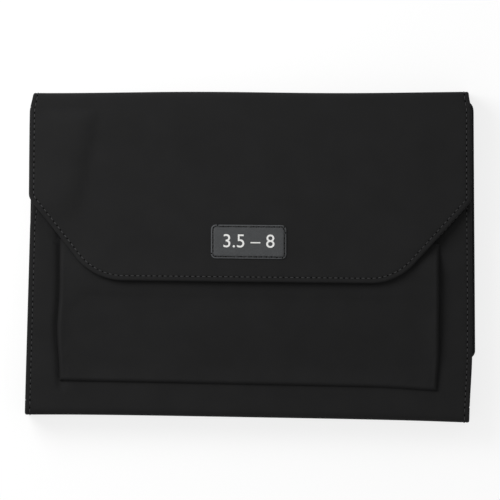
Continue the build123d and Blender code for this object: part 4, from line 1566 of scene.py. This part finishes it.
# ---------------------------------------------------------------- the stage
def studio():
    """A white table under a broad soft light from the upper left, and the camera straight above."""
    side = 4.0
    mesh = bpy.data.meshes.new("table")
    corners = [(-side, -side, 0), (side, -side, 0), (side, side, 0), (-side, side, 0)]
    mesh.from_pydata(corners, [], [(0, 1, 2, 3)])
    floor = linked("table", mesh)
    floor.location.z = -0.0003
    table = Finish("table_white", Specular_IOR_Level=0.0, Roughness=1.0, Base_Color=(0.95, 0.95, 0.95, 1))
    rays = table.tree.nodes.new("ShaderNodeLightPath")
    seen = sum(Signal(table, rays.outputs[f"Is {kind} Ray"]) for kind in ("Camera", "Glossy", "Transmission"))
    glow = table.node("ShaderNodeEmission", {}, {"Color": (1, 1, 1, 1), "Strength": 1.04})
    lit = Signal(table, table.surface.outputs[0])
    shown = table.node("ShaderNodeMixShader", {}, {0: table.clamp(seen) * 0.75, 1: lit, 2: glow})
    table.join(shown, table.tree.nodes["Material Output"].inputs[0])
    mesh.materials.append(table.material)

    world = bpy.data.worlds.new("studio")
    bpy.context.scene.world = world
    world.use_nodes = True
    sky = world.node_tree.nodes["Background"].inputs
    sky[0].default_value, sky[1].default_value = (1, 1, 1, 1), 0.5

    lamp = bpy.data.lights.new("key", "AREA")
    lamp.size, lamp.energy = 0.4, 3.8
    key = linked("key", lamp)
    key.location = (-0.42, 0.32, 0.5)
    key.rotation_euler = (-Vector(key.location)).to_track_quat("-Z", "Y").to_euler()

    height, seen_width, level = 4.0, 0.275, 0.022
    view = bpy.data.cameras.new("camera")
    view.sensor_width = 36.0
    view.lens = view.sensor_width * (height - level) / seen_width
    view.clip_end = 20.0
    eye = linked("camera", view)
    eye.location = (-0.0010, 0.0029, height)
    bpy.context.scene.camera = eye
    bpy.context.scene.view_settings.view_transform = "Standard"


fold_bands()
case_back()
front()
patch_pocket()
flap()
label()
needle_page()
for needle_size in NEEDLE_SIZES:
    for needle_side in ("left", "right"):
        wooden_tip(needle_size, needle_side)
        metal_end(needle_size, needle_side)
slots()
size_strip()
elastic_band()
turned_set("end_caps", "end_caps_moulded", cap_profile, PLASTIC, "cap_plastic", 36)
turned_set("connectors", "connectors_turned", sleeve_profile, STEEL, "ferrule_steel", 28)
refined("cable_keys", STEEL, "ferrule_steel")
for magnets in ("flap_magnets", "pocket_magnets"):
    refined(magnets, MAGNET, "magnet_steel")
zip_pouch()
zip_tapes()
zip_teeth()
for runner in ("zip_slider", "zip_puller"):
    refined(runner, ENAMEL, "zip_metal")
studio()
bpy.data.objects.remove(STITCH)
